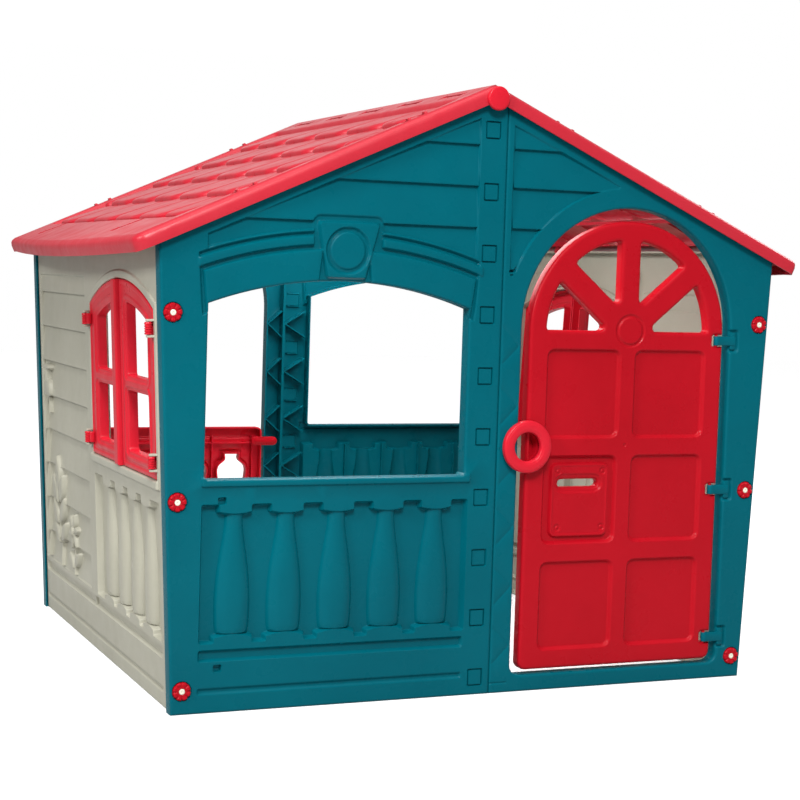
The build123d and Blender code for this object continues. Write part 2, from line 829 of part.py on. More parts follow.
with BuildPart() as front_door:
    with BuildSketch(door_face):
        add(door_outline.sketch)
        add(fan_openings.sketch, mode=Mode.SUBTRACT)
    extrude(amount=-door_thickness)
    # Hollow back: shallow behind the panels and deeper behind the rails and stiles.
    with BuildSketch(door_back):
        offset(door_outline.sketch, amount=-wall_skin, kind=Kind.INTERSECTION)
        offset(fan_openings.sketch, amount=wall_skin, mode=Mode.SUBTRACT)
        add(hinge_blocks(wall_skin, clip_heights), mode=Mode.SUBTRACT)
        with Locations(ring_centre):
            Circle(ring_outer, mode=Mode.SUBTRACT)
    extrude(amount=door_thickness - wall_skin - door_panel_depth, mode=Mode.SUBTRACT)
    with BuildSketch(door_back):
        offset(door_outline.sketch, amount=-wall_skin, kind=Kind.INTERSECTION)
        offset(fan_openings.sketch, amount=wall_skin, mode=Mode.SUBTRACT)
        add(hinge_blocks(wall_skin, clip_heights), mode=Mode.SUBTRACT)
        with Locations(ring_centre):
            Circle(ring_outer, mode=Mode.SUBTRACT)
        with Locations([(across, height) for across in panel_columns for height in panel_rows]):
            Rectangle(panel_width + 2 * wall_skin, panel_height + 2 * wall_skin, mode=Mode.SUBTRACT)
    extrude(amount=door_thickness - wall_skin, mode=Mode.SUBTRACT)
    # Six recessed panels, one of them with a raised letter plate.
    with BuildSketch(door_face):
        with Locations([(across, height) for across in panel_columns for height in panel_rows]):
            RectangleRounded(panel_width, panel_height, 6)
    extrude(amount=-door_panel_depth, mode=Mode.SUBTRACT)
    with BuildSketch(door_face.offset(-door_panel_depth)):
        with Locations(letter_plate):
            RectangleRounded(121, 135, 6)
        with Locations(letter_slot):
            SlotOverall(104, 34, mode=Mode.SUBTRACT)
    extrude(amount=5)
    with BuildSketch(door_face):
        with Locations(letter_slot):
            SlotOverall(86, 15)
    extrude(amount=-door_thickness, mode=Mode.SUBTRACT)
    # Hub of the fanlight and the finger recess behind the ring.
    with BuildSketch(door_face):
        with Locations((fan_centre[0] + 3, fan_centre[1] + 4)):
            Circle(30)
            Circle(26, mode=Mode.SUBTRACT)
    extrude(amount=-2, mode=Mode.SUBTRACT)
    with BuildSketch(door_face):
        with Locations(ring_centre):
            Circle(ring_inner - 1)
            Rectangle(20, 2 * ring_inner, mode=Mode.SUBTRACT)
            Rectangle(ring_inner, 2 * ring_inner, align=(Align.MAX, Align.CENTER), mode=Mode.SUBTRACT)
    extrude(amount=-12, mode=Mode.SUBTRACT)
    with BuildSketch(door_face):
        with Locations(foot_places):
            Circle(foot_pin_radius + 0.2)
    extrude(amount=-9, mode=Mode.SUBTRACT)
    # Hinge notches with a pin across each.
    with BuildSketch(door_face):
        add(hinge_blocks(0, clip_heights))
    extrude(amount=-door_thickness, mode=Mode.SUBTRACT)
    for height in clip_heights:
        with BuildSketch(shelf(front_face, height)):
            with Locations((hinge_axis, hinge_depth)):
                Circle(hinge_pin_radius)
        extrude(amount=notch_height / 2, both=True)
finish(front_door.part, "front_door")

with BuildPart() as door_ring_handle:
    with BuildSketch(front_face.offset(ring_gap)):
        with Locations(ring_centre):
            Circle(ring_outer)
            Circle(ring_inner, mode=Mode.SUBTRACT)
    extrude(amount=ring_thickness)
    fillet(door_ring_handle.edges().filter_by(GeomType.CIRCLE), 5)
    with BuildSketch(door_face):
        with Locations(foot_places):
            Circle(foot_radius)
    extrude(amount=door_setback + ring_gap + 3)
    with BuildSketch(door_face):
        with Locations(foot_places):
            Circle(foot_pin_radius)
    extrude(amount=-8)
finish(door_ring_handle.part, "door_ring_handle")


# ---------------------------------------------------------------- rear half-door and its latch
half_door_face = rear_face.offset(-door_setback)
half_door_back = rear_face.offset(-door_setback - door_thickness)
half_door_clips = clip_heights[:2]
cutout_middles = [294 + baluster_pitch * (step - 1.5) for step in range(4)]
cutout_profile = [(17, 328), (33, 312), (33, 285), (20, 222), (14, 165), (11, 112)]

with BuildSketch() as cutout:
    with BuildLine():
        Polyline((17, 328), (17, 342), (-17, 342), (-17, 328))
        Spline(*[(wide, high) for wide, high in cutout_profile])
        Spline(*[(-wide, high) for wide, high in cutout_profile])
        Line((-11, 112), (11, 112))
    make_face()

with BuildSketch() as half_door_outline:
    with BuildLine():
        Polyline(
            (half_door_left, door_bottom),
            (door_right, door_bottom),
            (door_right, half_door_top),
            (half_door_left, half_door_top),
            close=True,
        )
    make_face()
    fillet(half_door_outline.vertices(), 12)

with BuildPart() as rear_half_door:
    with BuildSketch(half_door_face):
        add(half_door_outline.sketch)
        with Locations([(middle, 0) for middle in cutout_middles]):
            add(cutout.sketch, mode=Mode.SUBTRACT)
    extrude(amount=-door_thickness)
    with BuildSketch(half_door_back):
        offset(half_door_outline.sketch, amount=-wall_skin)
        with Locations([(middle, 227) for middle in cutout_middles]):
            Rectangle(2 * 33 + 2 * wall_skin, 230 + 2 * wall_skin, mode=Mode.SUBTRACT)
        add(hinge_blocks(wall_skin, half_door_clips), mode=Mode.SUBTRACT)
    extrude(amount=door_thickness - wall_skin, mode=Mode.SUBTRACT)
    with BuildSketch(half_door_face):
        add(hinge_blocks(0, half_door_clips))
    extrude(amount=-door_thickness, mode=Mode.SUBTRACT)
    for height in half_door_clips:
        with BuildSketch(shelf(rear_face, height)):
            with Locations((hinge_axis, hinge_depth)):
                Circle(hinge_pin_radius)
        extrude(amount=notch_height / 2, both=True)
finish(rear_half_door.part, "rear_half_door")

latch_length, latch_width, latch_thickness = 64, 20, 7
latch_gap = 0.5
with BuildPart() as half_door_latch:
    with BuildSketch(rear_face.offset(-end_wall_depth - latch_gap)):
        with Locations((latch_pivot[0] - 8 + latch_length / 2, latch_pivot[1])):
            SlotOverall(latch_length, latch_width)
    extrude(amount=-latch_thickness)
    fillet(half_door_latch.faces().sort_by(Axis.Y)[0].edges(), 2)
    with BuildSketch(rear_face.offset(-end_wall_depth - latch_gap)):
        with Locations(latch_pivot):
            Circle(latch_pin_radius)
    extrude(amount=17)
finish(half_door_latch.part, "half_door_latch")


def hinge_clip(face, height, name):
    """T-headed clip: the head sits in the door post and the ring turns on a door hinge pin."""
    with BuildPart() as clip:
        with BuildSketch(shelf(face, height)):
            with Locations((hinge_axis, hinge_depth)):
                Circle(clip_ring_radius)
            with Locations((hinge_axis + clip_ring_radius - 2, hinge_depth)):
                Rectangle(
                    doorway_right - hinge_axis - clip_ring_radius + 4, 10, align=(Align.MIN, Align.CENTER)
                )
            with Locations((hinge_axis, hinge_depth)):
                Circle(hinge_pin_radius + 0.4, mode=Mode.SUBTRACT)
        extrude(amount=clip_height / 2, both=True)
        with BuildSketch(face.offset(-1)):
            with Locations((doorway_right + clip_head[0] / 2, height)):
                RectangleRounded(clip_head[0], clip_head[1], 4)
        extrude(amount=-clip_head[2])
    finish(clip.part, name)


for height, place in zip(clip_heights, ("lower", "middle", "upper")):
    hinge_clip(front_face, height, f"front_hinge_clip_{place}")
for height, place in zip(half_door_clips, ("lower", "upper")):
    hinge_clip(rear_face, height, f"rear_hinge_clip_{place}")


# ---------------------------------------------------------------- shutters
leaf_gap = 1.5
meeting_gap = 2.5
hinge_stile, meeting_stile = 48, 36
lower_pane = (435, 547)
upper_pane_bottom = 574
top_rail = 42
stile_rise = 8
stile_rise_width = 30
barrel_length = 22          # fits between the two lugs with a little play


def shutter(face, half, proud, name):
    """One window leaf on two hinge barrels; half is -1 or 1 for its side of the window."""
    edge = side_window_middle + half * (side_window_right - side_window_left) / 2
    free = side_window_middle + half * meeting_gap
    pane_middle = (edge - half * hinge_stile + free + half * meeting_stile) / 2
    pane_width = abs(edge - free) - hinge_stile - meeting_stile
    low, high = lower_pane
    with BuildSketch() as leaf_half:
        with Locations((free, side_window_bottom)):
            Rectangle(300, 400, align=(Align.MIN if half > 0 else Align.MAX, Align.MIN))
    with BuildSketch() as outline:
        add(side_window(leaf_gap))
        add(leaf_half.sketch, mode=Mode.INTERSECT)
    with BuildSketch() as upper_pane:
        add(side_window(top_rail))
        with Locations((pane_middle, upper_pane_bottom)):
            Rectangle(pane_width, 200, align=(Align.CENTER, Align.MIN), mode=Mode.INTERSECT)
    with BuildPart() as leaf:
        with BuildSketch(face.offset(shutter_face)):
            add(outline.sketch)
            add(upper_pane.sketch, mode=Mode.SUBTRACT)
            with Locations((pane_middle, (low + high) / 2)):
                Rectangle(pane_width, high - low, mode=Mode.SUBTRACT)
        extrude(amount=-shutter_thickness)
        # Hollow back.
        with BuildSketch(face.offset(shutter_face - shutter_thickness)):
            offset(outline.sketch, amount=-wall_skin, kind=Kind.INTERSECTION)
            offset(upper_pane.sketch, amount=wall_skin, kind=Kind.INTERSECTION, mode=Mode.SUBTRACT)
            with Locations((pane_middle, (low + high) / 2)):
                Rectangle(pane_width + 2 * wall_skin, high - low + 2 * wall_skin, mode=Mode.SUBTRACT)
        extrude(amount=shutter_thickness - wall_skin, mode=Mode.SUBTRACT)
        if proud:
            with BuildSketch(face.offset(shutter_face)):
                add(outline.sketch)
                with Locations((free, side_window_bottom)):
                    Rectangle(
                        2 * stile_rise_width, 400, align=(Align.CENTER, Align.MIN), mode=Mode.INTERSECT
                    )
            extrude(amount=stile_rise)
        for height in barrel_heights:
            with BuildSketch(shelf(face, height)):
                with Locations((edge, -barrel_offset)):
                    Circle(barrel_radius)
                with Locations((edge - half * 7, -(barrel_offset + shutter_face) / 2)):
                    Rectangle(14, barrel_offset - shutter_face)
            extrude(amount=barrel_length / 2, both=True)
            with BuildSketch(shelf(face, height)):
                with Locations((edge, -barrel_offset)):
                    Circle(lug_pin_radius + 0.4)
            extrude(amount=barrel_length / 2 + 1, both=True, mode=Mode.SUBTRACT)
    finish(leaf.part, name)


shutter(left_face, 1, False, "left_shutter_front")
shutter(left_face, -1, True, "left_shutter_rear")
shutter(right_face, 1, False, "right_shutter_rear")
shutter(right_face, -1, True, "right_shutter_front")


# ---------------------------------------------------------------- corner fixings
def corner_fixings(face, side, name):
    """Three star nuts and the three bolts under them, at one corner of the house."""
    outward = Axis((0, 0, 0), face.z_dir)
    places = [(side * (edge_at(height) - bolt_inset), height) for height in bolt_heights]
    with BuildPart() as nuts:
        with BuildSketch(face.offset(-nut_recess)):
            with Locations(places):
                Circle(nut_radius)
        extrude(amount=nut_thickness)
        chamfer([disc.edges() for disc in nuts.faces().group_by(outward)[-1]], 3)
        with BuildSketch(face.offset(nut_thickness - nut_recess)):
            with Locations(places):
                with PolarLocations(nut_radius - 4, 8):
                    Rectangle(8, 3)
        extrude(amount=-2, mode=Mode.SUBTRACT)
        with BuildSketch(face.offset(-nut_recess)):
            with Locations(places):
                Circle(bolt_radius + 0.2)
        extrude(amount=nut_thickness, mode=Mode.SUBTRACT)
    finish(nuts.part, f"corner_nuts_{name}")
    with BuildPart() as bolts:
        with BuildSketch(face.offset(2)):
            with Locations(places):
                Circle(bolt_radius)
        extrude(amount=-2 - end_wall_depth - wall_skin)
        with BuildSketch(face.offset(-end_wall_depth - wall_skin)):
            with Locations(places):
                RegularPolygon(bolt_head_radius, 6)
        extrude(amount=-bolt_head_thickness)
    finish(bolts.part, f"corner_bolts_{name}")


for face, side, name in (
    (front_face, -1, "front_left"),
    (front_face, 1, "front_right"),
    (rear_face, 1, "rear_left"),
    (rear_face, -1, "rear_right"),
):
    corner_fixings(face, side, name)
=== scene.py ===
import bmesh
import bpy
import json
import math
import random
import numpy as np
from mathutils import Matrix, Vector
from mathutils.geometry import delaunay_2d_cdt


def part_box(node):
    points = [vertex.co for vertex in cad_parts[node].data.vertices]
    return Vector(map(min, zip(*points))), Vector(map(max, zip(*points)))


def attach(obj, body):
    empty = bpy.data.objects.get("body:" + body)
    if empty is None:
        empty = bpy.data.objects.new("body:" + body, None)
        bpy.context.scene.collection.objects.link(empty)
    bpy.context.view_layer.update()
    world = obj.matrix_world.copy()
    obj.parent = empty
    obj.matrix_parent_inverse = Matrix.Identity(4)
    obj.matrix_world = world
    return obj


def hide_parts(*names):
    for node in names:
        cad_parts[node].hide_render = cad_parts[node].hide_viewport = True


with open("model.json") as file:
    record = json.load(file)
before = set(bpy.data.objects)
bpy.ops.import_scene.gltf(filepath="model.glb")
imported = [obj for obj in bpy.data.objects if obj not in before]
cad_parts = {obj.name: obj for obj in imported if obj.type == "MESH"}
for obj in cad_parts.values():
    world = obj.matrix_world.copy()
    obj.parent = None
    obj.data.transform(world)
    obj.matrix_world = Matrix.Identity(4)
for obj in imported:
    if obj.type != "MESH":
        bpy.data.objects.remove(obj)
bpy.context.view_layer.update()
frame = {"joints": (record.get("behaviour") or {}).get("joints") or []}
random.seed(7)
link = bpy.context.scene.collection.objects.link

# A plastic playhouse. Lengths inside the panel outlines are millimetres in each panel's own
# plane: u to the right seen from outside, v up, w outward. Panels become metres when placed.

# ---- sizes used by several pieces
skin = 3.0                       # thickness of every moulding
end_depth, side_depth = 28, 34   # end walls with the roof's edge, and side walls, front to back
leaf_depth = 22                  # doors and shutters, front to back
roof_tilt = math.radians(24.1)
base_half = 581                  # half width of an end wall at the ground
flare = 0.047                    # outward lean of its edge
seam = 30                        # where the two mouldings of an end wall meet
tuck = 14.5                      # wall tops sit this far inside the roof, below its tile field
snap_first, snap_pitch = 33, 112
snap_heights = [snap_first + snap_pitch * k for k in range(10)]
baluster_pitch = 96
bolt_heights, bolt_inset = (42, 372, 698), 21
clip_heights = (82, 374, 665)
side_middle = 229                # middle of a side window
barrel_heights = (435, 669)      # of the shutters
barrel_axis = 11.5               # in front of the side wall

# ---- local planes, from the CAD frame
joint = {j["name"]: j for j in frame["joints"]}
half_depth = -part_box("front_door_wall")[0].y
ridge_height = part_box("roof_left")[1].z


def plane(origin, x_axis, z_axis):
    """Matrix of a plane from its origin, its u axis and its outward w axis."""
    x = Vector(x_axis).normalized()
    z = Vector(z_axis).normalized()
    y = z.cross(x)
    m = Matrix((x, y, z)).transposed().to_4x4()
    m.translation = Vector(origin)
    return m


def side_plane(name, side):
    """Plane of a side wall, worked back from the hinge of its outer shutter."""
    hinge = joint[name]
    up = Vector(hinge["axis"])
    if up.z < 0:
        up = -up
    along = Vector((0, side, 0))
    out = along.cross(up)
    hinge_u, hinge_v = 0.466, 0.552
    origin = Vector(hinge["pos_m"]) - along * hinge_u - up * hinge_v - out * barrel_axis / 1000
    return plane(origin, along, out)


front_plane = plane((0, -half_depth, 0), (1, 0, 0), (0, -1, 0))
rear_plane = plane((0, half_depth, 0), (-1, 0, 0), (0, 1, 0))
left_plane = side_plane("left_front_leaf_hinge", -1)
right_plane = side_plane("right_rear_leaf_hinge", 1)
ends = (("front", front_plane), ("rear", rear_plane))
sides = (("left", left_plane), ("right", right_plane))


# ---- outlines
def arc(cx, cy, r, a0, a1, n=None):
    """Points on an arc, angles in degrees, both ends included, about 7 mm apart unless n is given."""
    if n is None:
        n = max(3, int(abs(a1 - a0) / 360 * 2 * math.pi * r / 7) + 2)
    angles = [math.radians(a0 + (a1 - a0) * i / (n - 1)) for i in range(n)]
    return [(cx + r * math.cos(a), cy + r * math.sin(a)) for a in angles]


def circle(cx, cy, r, n=None):
    n = n or max(12, int(2 * math.pi * r / 6))
    return arc(cx, cy, r, 0, 360 - 360 / n, n)


def round_corners(points, radius, steps=4):
    """A closed outline with each corner rounded. radius is one number or one per corner."""
    out = []
    n = len(points)
    for i in range(n):
        r = radius[i] if isinstance(radius, (list, tuple)) else radius
        p = Vector(points[i])
        a = Vector(points[i - 1]) - p
        b = Vector(points[(i + 1) % n]) - p
        if r <= 0 or min(a.length, b.length) < 1e-6 or a.angle(b) > math.radians(172):
            out.append(tuple(p))
            continue
        half = a.angle(b) / 2
        cut = min(r / math.tan(half), a.length * 0.49, b.length * 0.49)
        rr = cut * math.tan(half)
        a.normalize()
        b.normalize()
        centre = p + (a + b).normalized() * (rr / math.sin(half))
        start = p + a * cut - centre
        end = p + b * cut - centre
        turn = start.angle_signed(end) if start.length > 1e-9 else 0
        for k in range(steps + 1):
            t = -turn * k / steps
            c, s = math.cos(t), math.sin(t)
            out.append((centre.x + start.x * c - start.y * s, centre.y + start.x * s + start.y * c))
    return out


def rect(u0, u1, v0, v1, r=0):
    return round_corners([(u0, v0), (u1, v0), (u1, v1), (u0, v1)], r)


def curve_piece(p0, p1, p2, p3, n):
    """n points of a smooth curve from p1 towards p2."""
    out = []
    for t in (k / n for k in range(n)):
        q = 0.5 * ((2 * p1) + (p2 - p0) * t + (2 * p0 - 5 * p1 + 4 * p2 - p3) * t * t
                   + (3 * p1 - p0 - 3 * p2 + p3) * t ** 3)
        out.append((q.x, q.y))
    return out


def smooth_line(points, n=6):
    """An open smooth curve through points, both ends included."""
    p = [Vector(q) for q in points]
    p = [2 * p[0] - p[1]] + p + [2 * p[-1] - p[-2]]
    out = [q for i in range(1, len(p) - 2) for q in curve_piece(*p[i - 1:i + 3], n)]
    return out + [(p[-2].x, p[-2].y)]


def mirrored(profile):
    """Closed outline from half of it: (half width, height) pairs from bottom to top."""
    return list(profile) + [(-w, h) for w, h in reversed(profile)]


def shifted(loop, du, dv=0):
    return [(u + du, v + dv) for u, v in loop]


def band(a, b, half):
    """Outline of a straight band about the line from a to b."""
    a, b = Vector(a), Vector(b)
    n = Vector((a.y - b.y, b.x - a.x)).normalized() * half
    return [tuple(a + n), tuple(a - n), tuple(b - n), tuple(b + n)]


def area(loop):
    p = np.asarray(loop, float)
    q = np.roll(p, -1, 0)
    return 0.5 * float(np.sum(p[:, 0] * q[:, 1] - q[:, 0] * p[:, 1]))


def clean(loop):
    """The loop anticlockwise, without repeated points."""
    shortest = 0.2
    out = []
    for p in loop:
        if not out or math.dist(p, out[-1]) > shortest:
            out.append((float(p[0]), float(p[1])))
    if len(out) > 2 and math.dist(out[0], out[-1]) <= shortest:
        out.pop()
    return out if area(out) > 0 else out[::-1]


def subdivide(loop, step):
    """The loop with points added, so that none are further apart than step."""
    out = []
    for a, b in zip(loop, loop[1:] + loop[:1]):
        k = max(1, math.ceil(math.dist(a, b) / step))
        out += [(a[0] + (b[0] - a[0]) * t, a[1] + (b[1] - a[1]) * t) for t in (j / k for j in range(k))]
    return out


def grown(loop, amount):
    """The anticlockwise loop moved outward by amount, mitred at its corners."""
    p = np.asarray(loop, float)
    e = np.roll(p, -1, 0) - p
    e /= np.maximum(np.linalg.norm(e, axis=1), 1e-9)[:, None]
    n = np.stack([e[:, 1], -e[:, 0]], 1)
    m = n + np.roll(n, 1, 0)
    m /= np.maximum(np.linalg.norm(m, axis=1), 1e-6)[:, None]
    c = np.maximum((m * n).sum(1), 0.35)
    return p + m / c[:, None] * amount


def signed_distance(P, loop):
    """Distance of points to a closed loop, negative inside it."""
    a = np.asarray(loop, float)
    b = np.roll(a, -1, 0)
    best = np.full(len(P), 1e18)
    inside = np.zeros(len(P), bool)
    for k in range(len(a)):
        ax, ay = a[k]
        bx, by = b[k]
        dx, dy = bx - ax, by - ay
        L = dx * dx + dy * dy
        if L < 1e-12:
            continue
        px, py = P[:, 0] - ax, P[:, 1] - ay
        t = np.clip((px * dx + py * dy) / L, 0, 1)
        ex, ey = px - t * dx, py - t * dy
        best = np.minimum(best, ex * ex + ey * ey)
        if ay != by:
            inside ^= ((ay > P[:, 1]) != (by > P[:, 1])) & (P[:, 0] < dx * (P[:, 1] - ay) / dy + ax)
    d = np.sqrt(best)
    return np.where(inside, -d, d)


# ---- moulded relief panels
def dome(t):
    """Quarter circle, from 1 at t = 0 to 0 at t = 1."""
    return np.sqrt(np.maximum(1 - t * t, 0))


def relief(loop, height=None, add=None, shape=None, soft=1.5, rings=None):
    """One feature of a panel: inside loop the face goes to height, or by add, or follows shape(P, d, h)."""
    return dict(loop=clean(loop), height=height, add=add, shape=shape, soft=soft, rings=rings)


def face_heights(P, features, outline, holes, round_edge):
    """Height of a panel's face at points P: each feature in turn, then the rounding of its edges."""
    h = np.zeros(len(P))
    for f in features:
        loop = np.asarray(f["loop"])
        pad = f["soft"] + 1
        near = ((P > loop.min(0) - pad) & (P < loop.max(0) + pad)).all(1)
        if not near.any():
            continue
        Q = P[near]
        d = signed_distance(Q, f["loop"])
        t = np.clip((f["soft"] - d) / (2 * f["soft"]), 0, 1)
        m = t * t * (3 - 2 * t)
        old = h[near]
        if f["shape"] is not None:
            new = f["shape"](Q, d, old)
        elif f["add"] is not None:
            new = old + f["add"]
        else:
            new = f["height"]
        h[near] = old * (1 - m) + new * m
    edge = np.min([np.abs(signed_distance(P, loop)) for loop in [outline] + holes], 0)
    return h - round_edge * (1 - dome(np.clip(1 - edge / round_edge, 0, 1)))


def renumbered(ids, size, first=0):
    """Lookup from old vertex numbers to new ones, -1 for those left out."""
    lookup = -np.ones(size, int)
    lookup[ids] = first + np.arange(len(ids))
    return lookup


def border(triangles):
    """Directed edges that belong to one triangle only."""
    seen = dict.fromkeys((int(t[i]), int(t[(i + 1) % 3])) for t in triangles for i in range(3))
    return [(a, b) for a, b in seen if (b, a) not in seen]


def new_mesh(name, verts, faces, angle=38, weld=False):
    """A mesh from points in metres, shaded smooth up to an angle between its faces."""
    mesh = bpy.data.meshes.new(name)
    mesh.from_pydata(verts, [], faces)
    mesh.validate()
    if weld:
        bm = bmesh.new()
        bm.from_mesh(mesh)
        bmesh.ops.remove_doubles(bm, verts=bm.verts, dist=1e-6)
        bmesh.ops.recalc_face_normals(bm, faces=bm.faces)
        bm.to_mesh(mesh)
        bm.free()
    mesh.update()
    mesh.polygons.foreach_set("use_smooth", [True] * len(mesh.polygons))
    mesh.set_sharp_from_angle(angle=math.radians(angle))
    return mesh


def panel_mesh(name, outline, holes, features, depth, round_edge, lines=(), grid=26):
    """A thin moulded panel as one closed mesh: face, back and the flange round every edge."""
    outline = clean(outline)
    holes = [clean(h) for h in holes]
    verts = []
    edges = []

    def put(points, closed=True):
        start = len(verts)
        verts.extend((float(x), float(y)) for x, y in points)
        n = len(points)
        edges.extend((start + i, start + i + 1) for i in range(n - 1))
        if closed:
            edges.append((start + n - 1, start))

    # Rings of points along every rounded edge and every feature.
    step = 34
    rings = {0, skin, round_edge}
    rings |= {round_edge * 0.12, round_edge * 0.4, round_edge + 2}
    for loop, sign in [(outline, -1)] + [(h, 1) for h in holes]:
        fine = subdivide(loop, step)
        for r in sorted(rings):
            put(grown(fine, sign * r) if r else fine)
    for f in features:
        s = f["soft"]
        offsets = f["rings"] or ([-s - 1.5, -s, -s / 3, s / 3, s, s + 1.5])
        fine = subdivide(f["loop"], step)
        reach = math.sqrt(area(f["loop"])) * 0.45
        for r in offsets:
            if -r <= reach:
                put(grown(fine, r))
    for line in lines:
        put(line, False)

    # A staggered grid between them, kept a cell away from every ring.
    cell = 8
    low, high = np.min(outline, 0), np.max(outline, 0)
    g = grid * 1
    row = g * 0.87
    taken = {(int(x // cell), int(y // cell)) for x, y in verts}
    for j in range(int((high[1] - low[1]) / row) + 1):
        for i in range(int((high[0] - low[0]) / g) + 1):
            x, y = low[0] + (i + 0.5 * (j % 2) + 0.25) * g, low[1] + (j + 0.5) * row
            cx, cy = int(x // cell), int(y // cell)
            if not any((cx + a, cy + b) in taken for a in (-1, 0, 1) for b in (-1, 0, 1)):
                verts.append((float(x), float(y)))
    out = delaunay_2d_cdt([Vector(v) for v in verts], edges, [], 0, 0.05)
    P = np.array([(v.x, v.y) for v in out[0]])
    T = np.array([tuple(t) for t in out[2]])
    A = P[T]
    C = A.mean(1)
    e, f = A[:, 1] - A[:, 0], A[:, 2] - A[:, 0]
    clockwise = e[:, 0] * f[:, 1] < f[:, 0] * e[:, 1]
    T[clockwise] = T[clockwise][:, ::-1]
    kept = signed_distance(C, outline) < 0
    for hole in holes:
        kept &= signed_distance(C, hole) > 0
    T = T[kept]
    used = np.unique(T)
    P, T = P[used], renumbered(used, len(P))[T]
    h = face_heights(P, features, outline, holes, round_edge)

    # Triangles nearer an edge than the skin are over the flange; the others have a back.
    C = P[T].mean(1)
    inner = signed_distance(C, grown(subdivide(outline, step), -skin)) < 0
    for hole in holes:
        inner &= signed_distance(C, grown(subdivide(hole, step), skin)) > 0
    n = len(P)
    back_ids = np.unique(T[inner])
    rim_ids = np.unique(T[~inner])
    back = renumbered(back_ids, n, n)
    rim = renumbered(rim_ids, n, n + len(back_ids))
    V = np.vstack([np.column_stack([P, h]), np.column_stack([P[back_ids], h[back_ids] - skin]),
                   np.column_stack([P[rim_ids], np.full(len(rim_ids), -depth)])])
    faces = np.vstack([T, back[T[inner]][:, ::-1], rim[T[~inner]][:, ::-1]]).tolist()
    faces += [(b, a, int(rim[a]), int(rim[b])) for a, b in border(T)]
    faces += [(int(back[a]), int(back[b]), int(rim[b]), int(rim[a]))
              for a, b in border(T[inner]) if rim[a] >= 0 and rim[b] >= 0]
    return new_mesh(name, (V / 1000).tolist(), faces)


# ---- other meshes
def with_ribs(mesh, ribs):
    """Ribs behind a panel, joined to its mesh: each is a line, its thickness and its two depths."""
    verts = [tuple(v.co) for v in mesh.vertices]
    faces = [tuple(p.vertices) for p in mesh.polygons]
    for a, b, width, back, front in ribs:
        k = len(verts)
        corners = band(a, b, width / 2)
        verts += [(x / 1000, y / 1000, w / 1000) for w in (back, front) for x, y in corners]
        faces += [(k, k + 3, k + 2, k + 1), (k + 4, k + 5, k + 6, k + 7)]
        faces += [(k + i, k + (i + 1) % 4, k + 4 + (i + 1) % 4, k + 4 + i) for i in range(4)]
    return new_mesh(mesh.name, verts, faces)


def swept(name, rows, angle):
    """A closed sweep through rows of points in millimetres, the last row joined to the first."""
    n = len(rows[0])
    verts = [(x / 1000, y / 1000, z / 1000) for row in rows for x, y, z in row]
    faces = []
    for k in range(len(rows)):
        for i in range(n - 1):
            a, b = k * n + i, ((k + 1) % len(rows)) * n + i
            faces.append((a, b, b + 1, a + 1))
    return new_mesh(name, verts, faces, angle, weld=True)


def tube_mesh(name, profile, segments):
    """A turned piece about its own z axis from (radius, height) pairs in millimetres."""
    turns = [2 * math.pi * k / segments for k in range(segments)]
    return swept(name, [[(r * math.cos(a), r * math.sin(a), z) for r, z in profile] for a in turns], 40)


def rounded_block(name, outline, low, high, bevel):
    """A moulded block from an outline, with softened edges top and bottom."""
    loop = clean(outline)
    b = bevel
    levels = [(low, -b), (low + b * 0.3, -b * 0.3), (low + b, 0), (high - b, 0),
              (high - b * 0.3, -b * 0.3), (high, -b)]
    n = len(loop)
    verts = [(float(x) / 1000, float(y) / 1000, z / 1000)
             for z, inset in levels for x, y in grown(loop, inset)]
    faces = [(k + i, k + (i + 1) % n, k + n + (i + 1) % n, k + n + i)
             for k in range(0, (len(levels) - 1) * n, n) for i in range(n)]
    faces += [tuple(reversed(range(n))), tuple(range((len(levels) - 1) * n, len(levels) * n))]
    return new_mesh(name, verts, faces)


def joined(name, meshes):
    """One mesh from several, each already in the same plane."""
    verts, faces = [], []
    for mesh in meshes:
        k = len(verts)
        verts += [tuple(v.co) for v in mesh.vertices]
        faces += [tuple(i + k for i in p.vertices) for p in mesh.polygons]
    return new_mesh(name, verts, faces)


def moved(mesh, matrix):
    mesh = mesh.copy()
    mesh.transform(matrix)
    return mesh


def at(u, v, w=0.0):
    return Matrix.Translation((u / 1000, v / 1000, w / 1000))


upright = Matrix.Rotation(math.radians(-90), 4, "X")
level = upright.inverted()


def hinge_pins(heights):
    """Pins inside the notches of a door, in the door's plane."""
    pin = tube_mesh("pin", [(0, -12), (3.5, -12), (3.5, 12), (0, 12)], 16)
    return [moved(pin, at(500, v, -4) @ upright) for v in heights]


def place(mesh, node, matrix, body, finish, made="moulding"):
    """One object from a mesh in a panel's own plane, in place of one CAD node."""
    name = f"{node}_{made}"
    slot, material = finish
    mesh = moved(mesh, matrix)
    mesh.name = name
    mesh.materials.append(material)
    obj = bpy.data.objects.new(name, mesh)
    link(obj)
    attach(obj, body)
    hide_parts(node)


# ---- materials
def set_inputs(node, **values):
    """Set a node's sockets; an underscore in a name stands for a space."""
    for key, value in values.items():
        node.inputs[key.replace("_", " ")].default_value = value


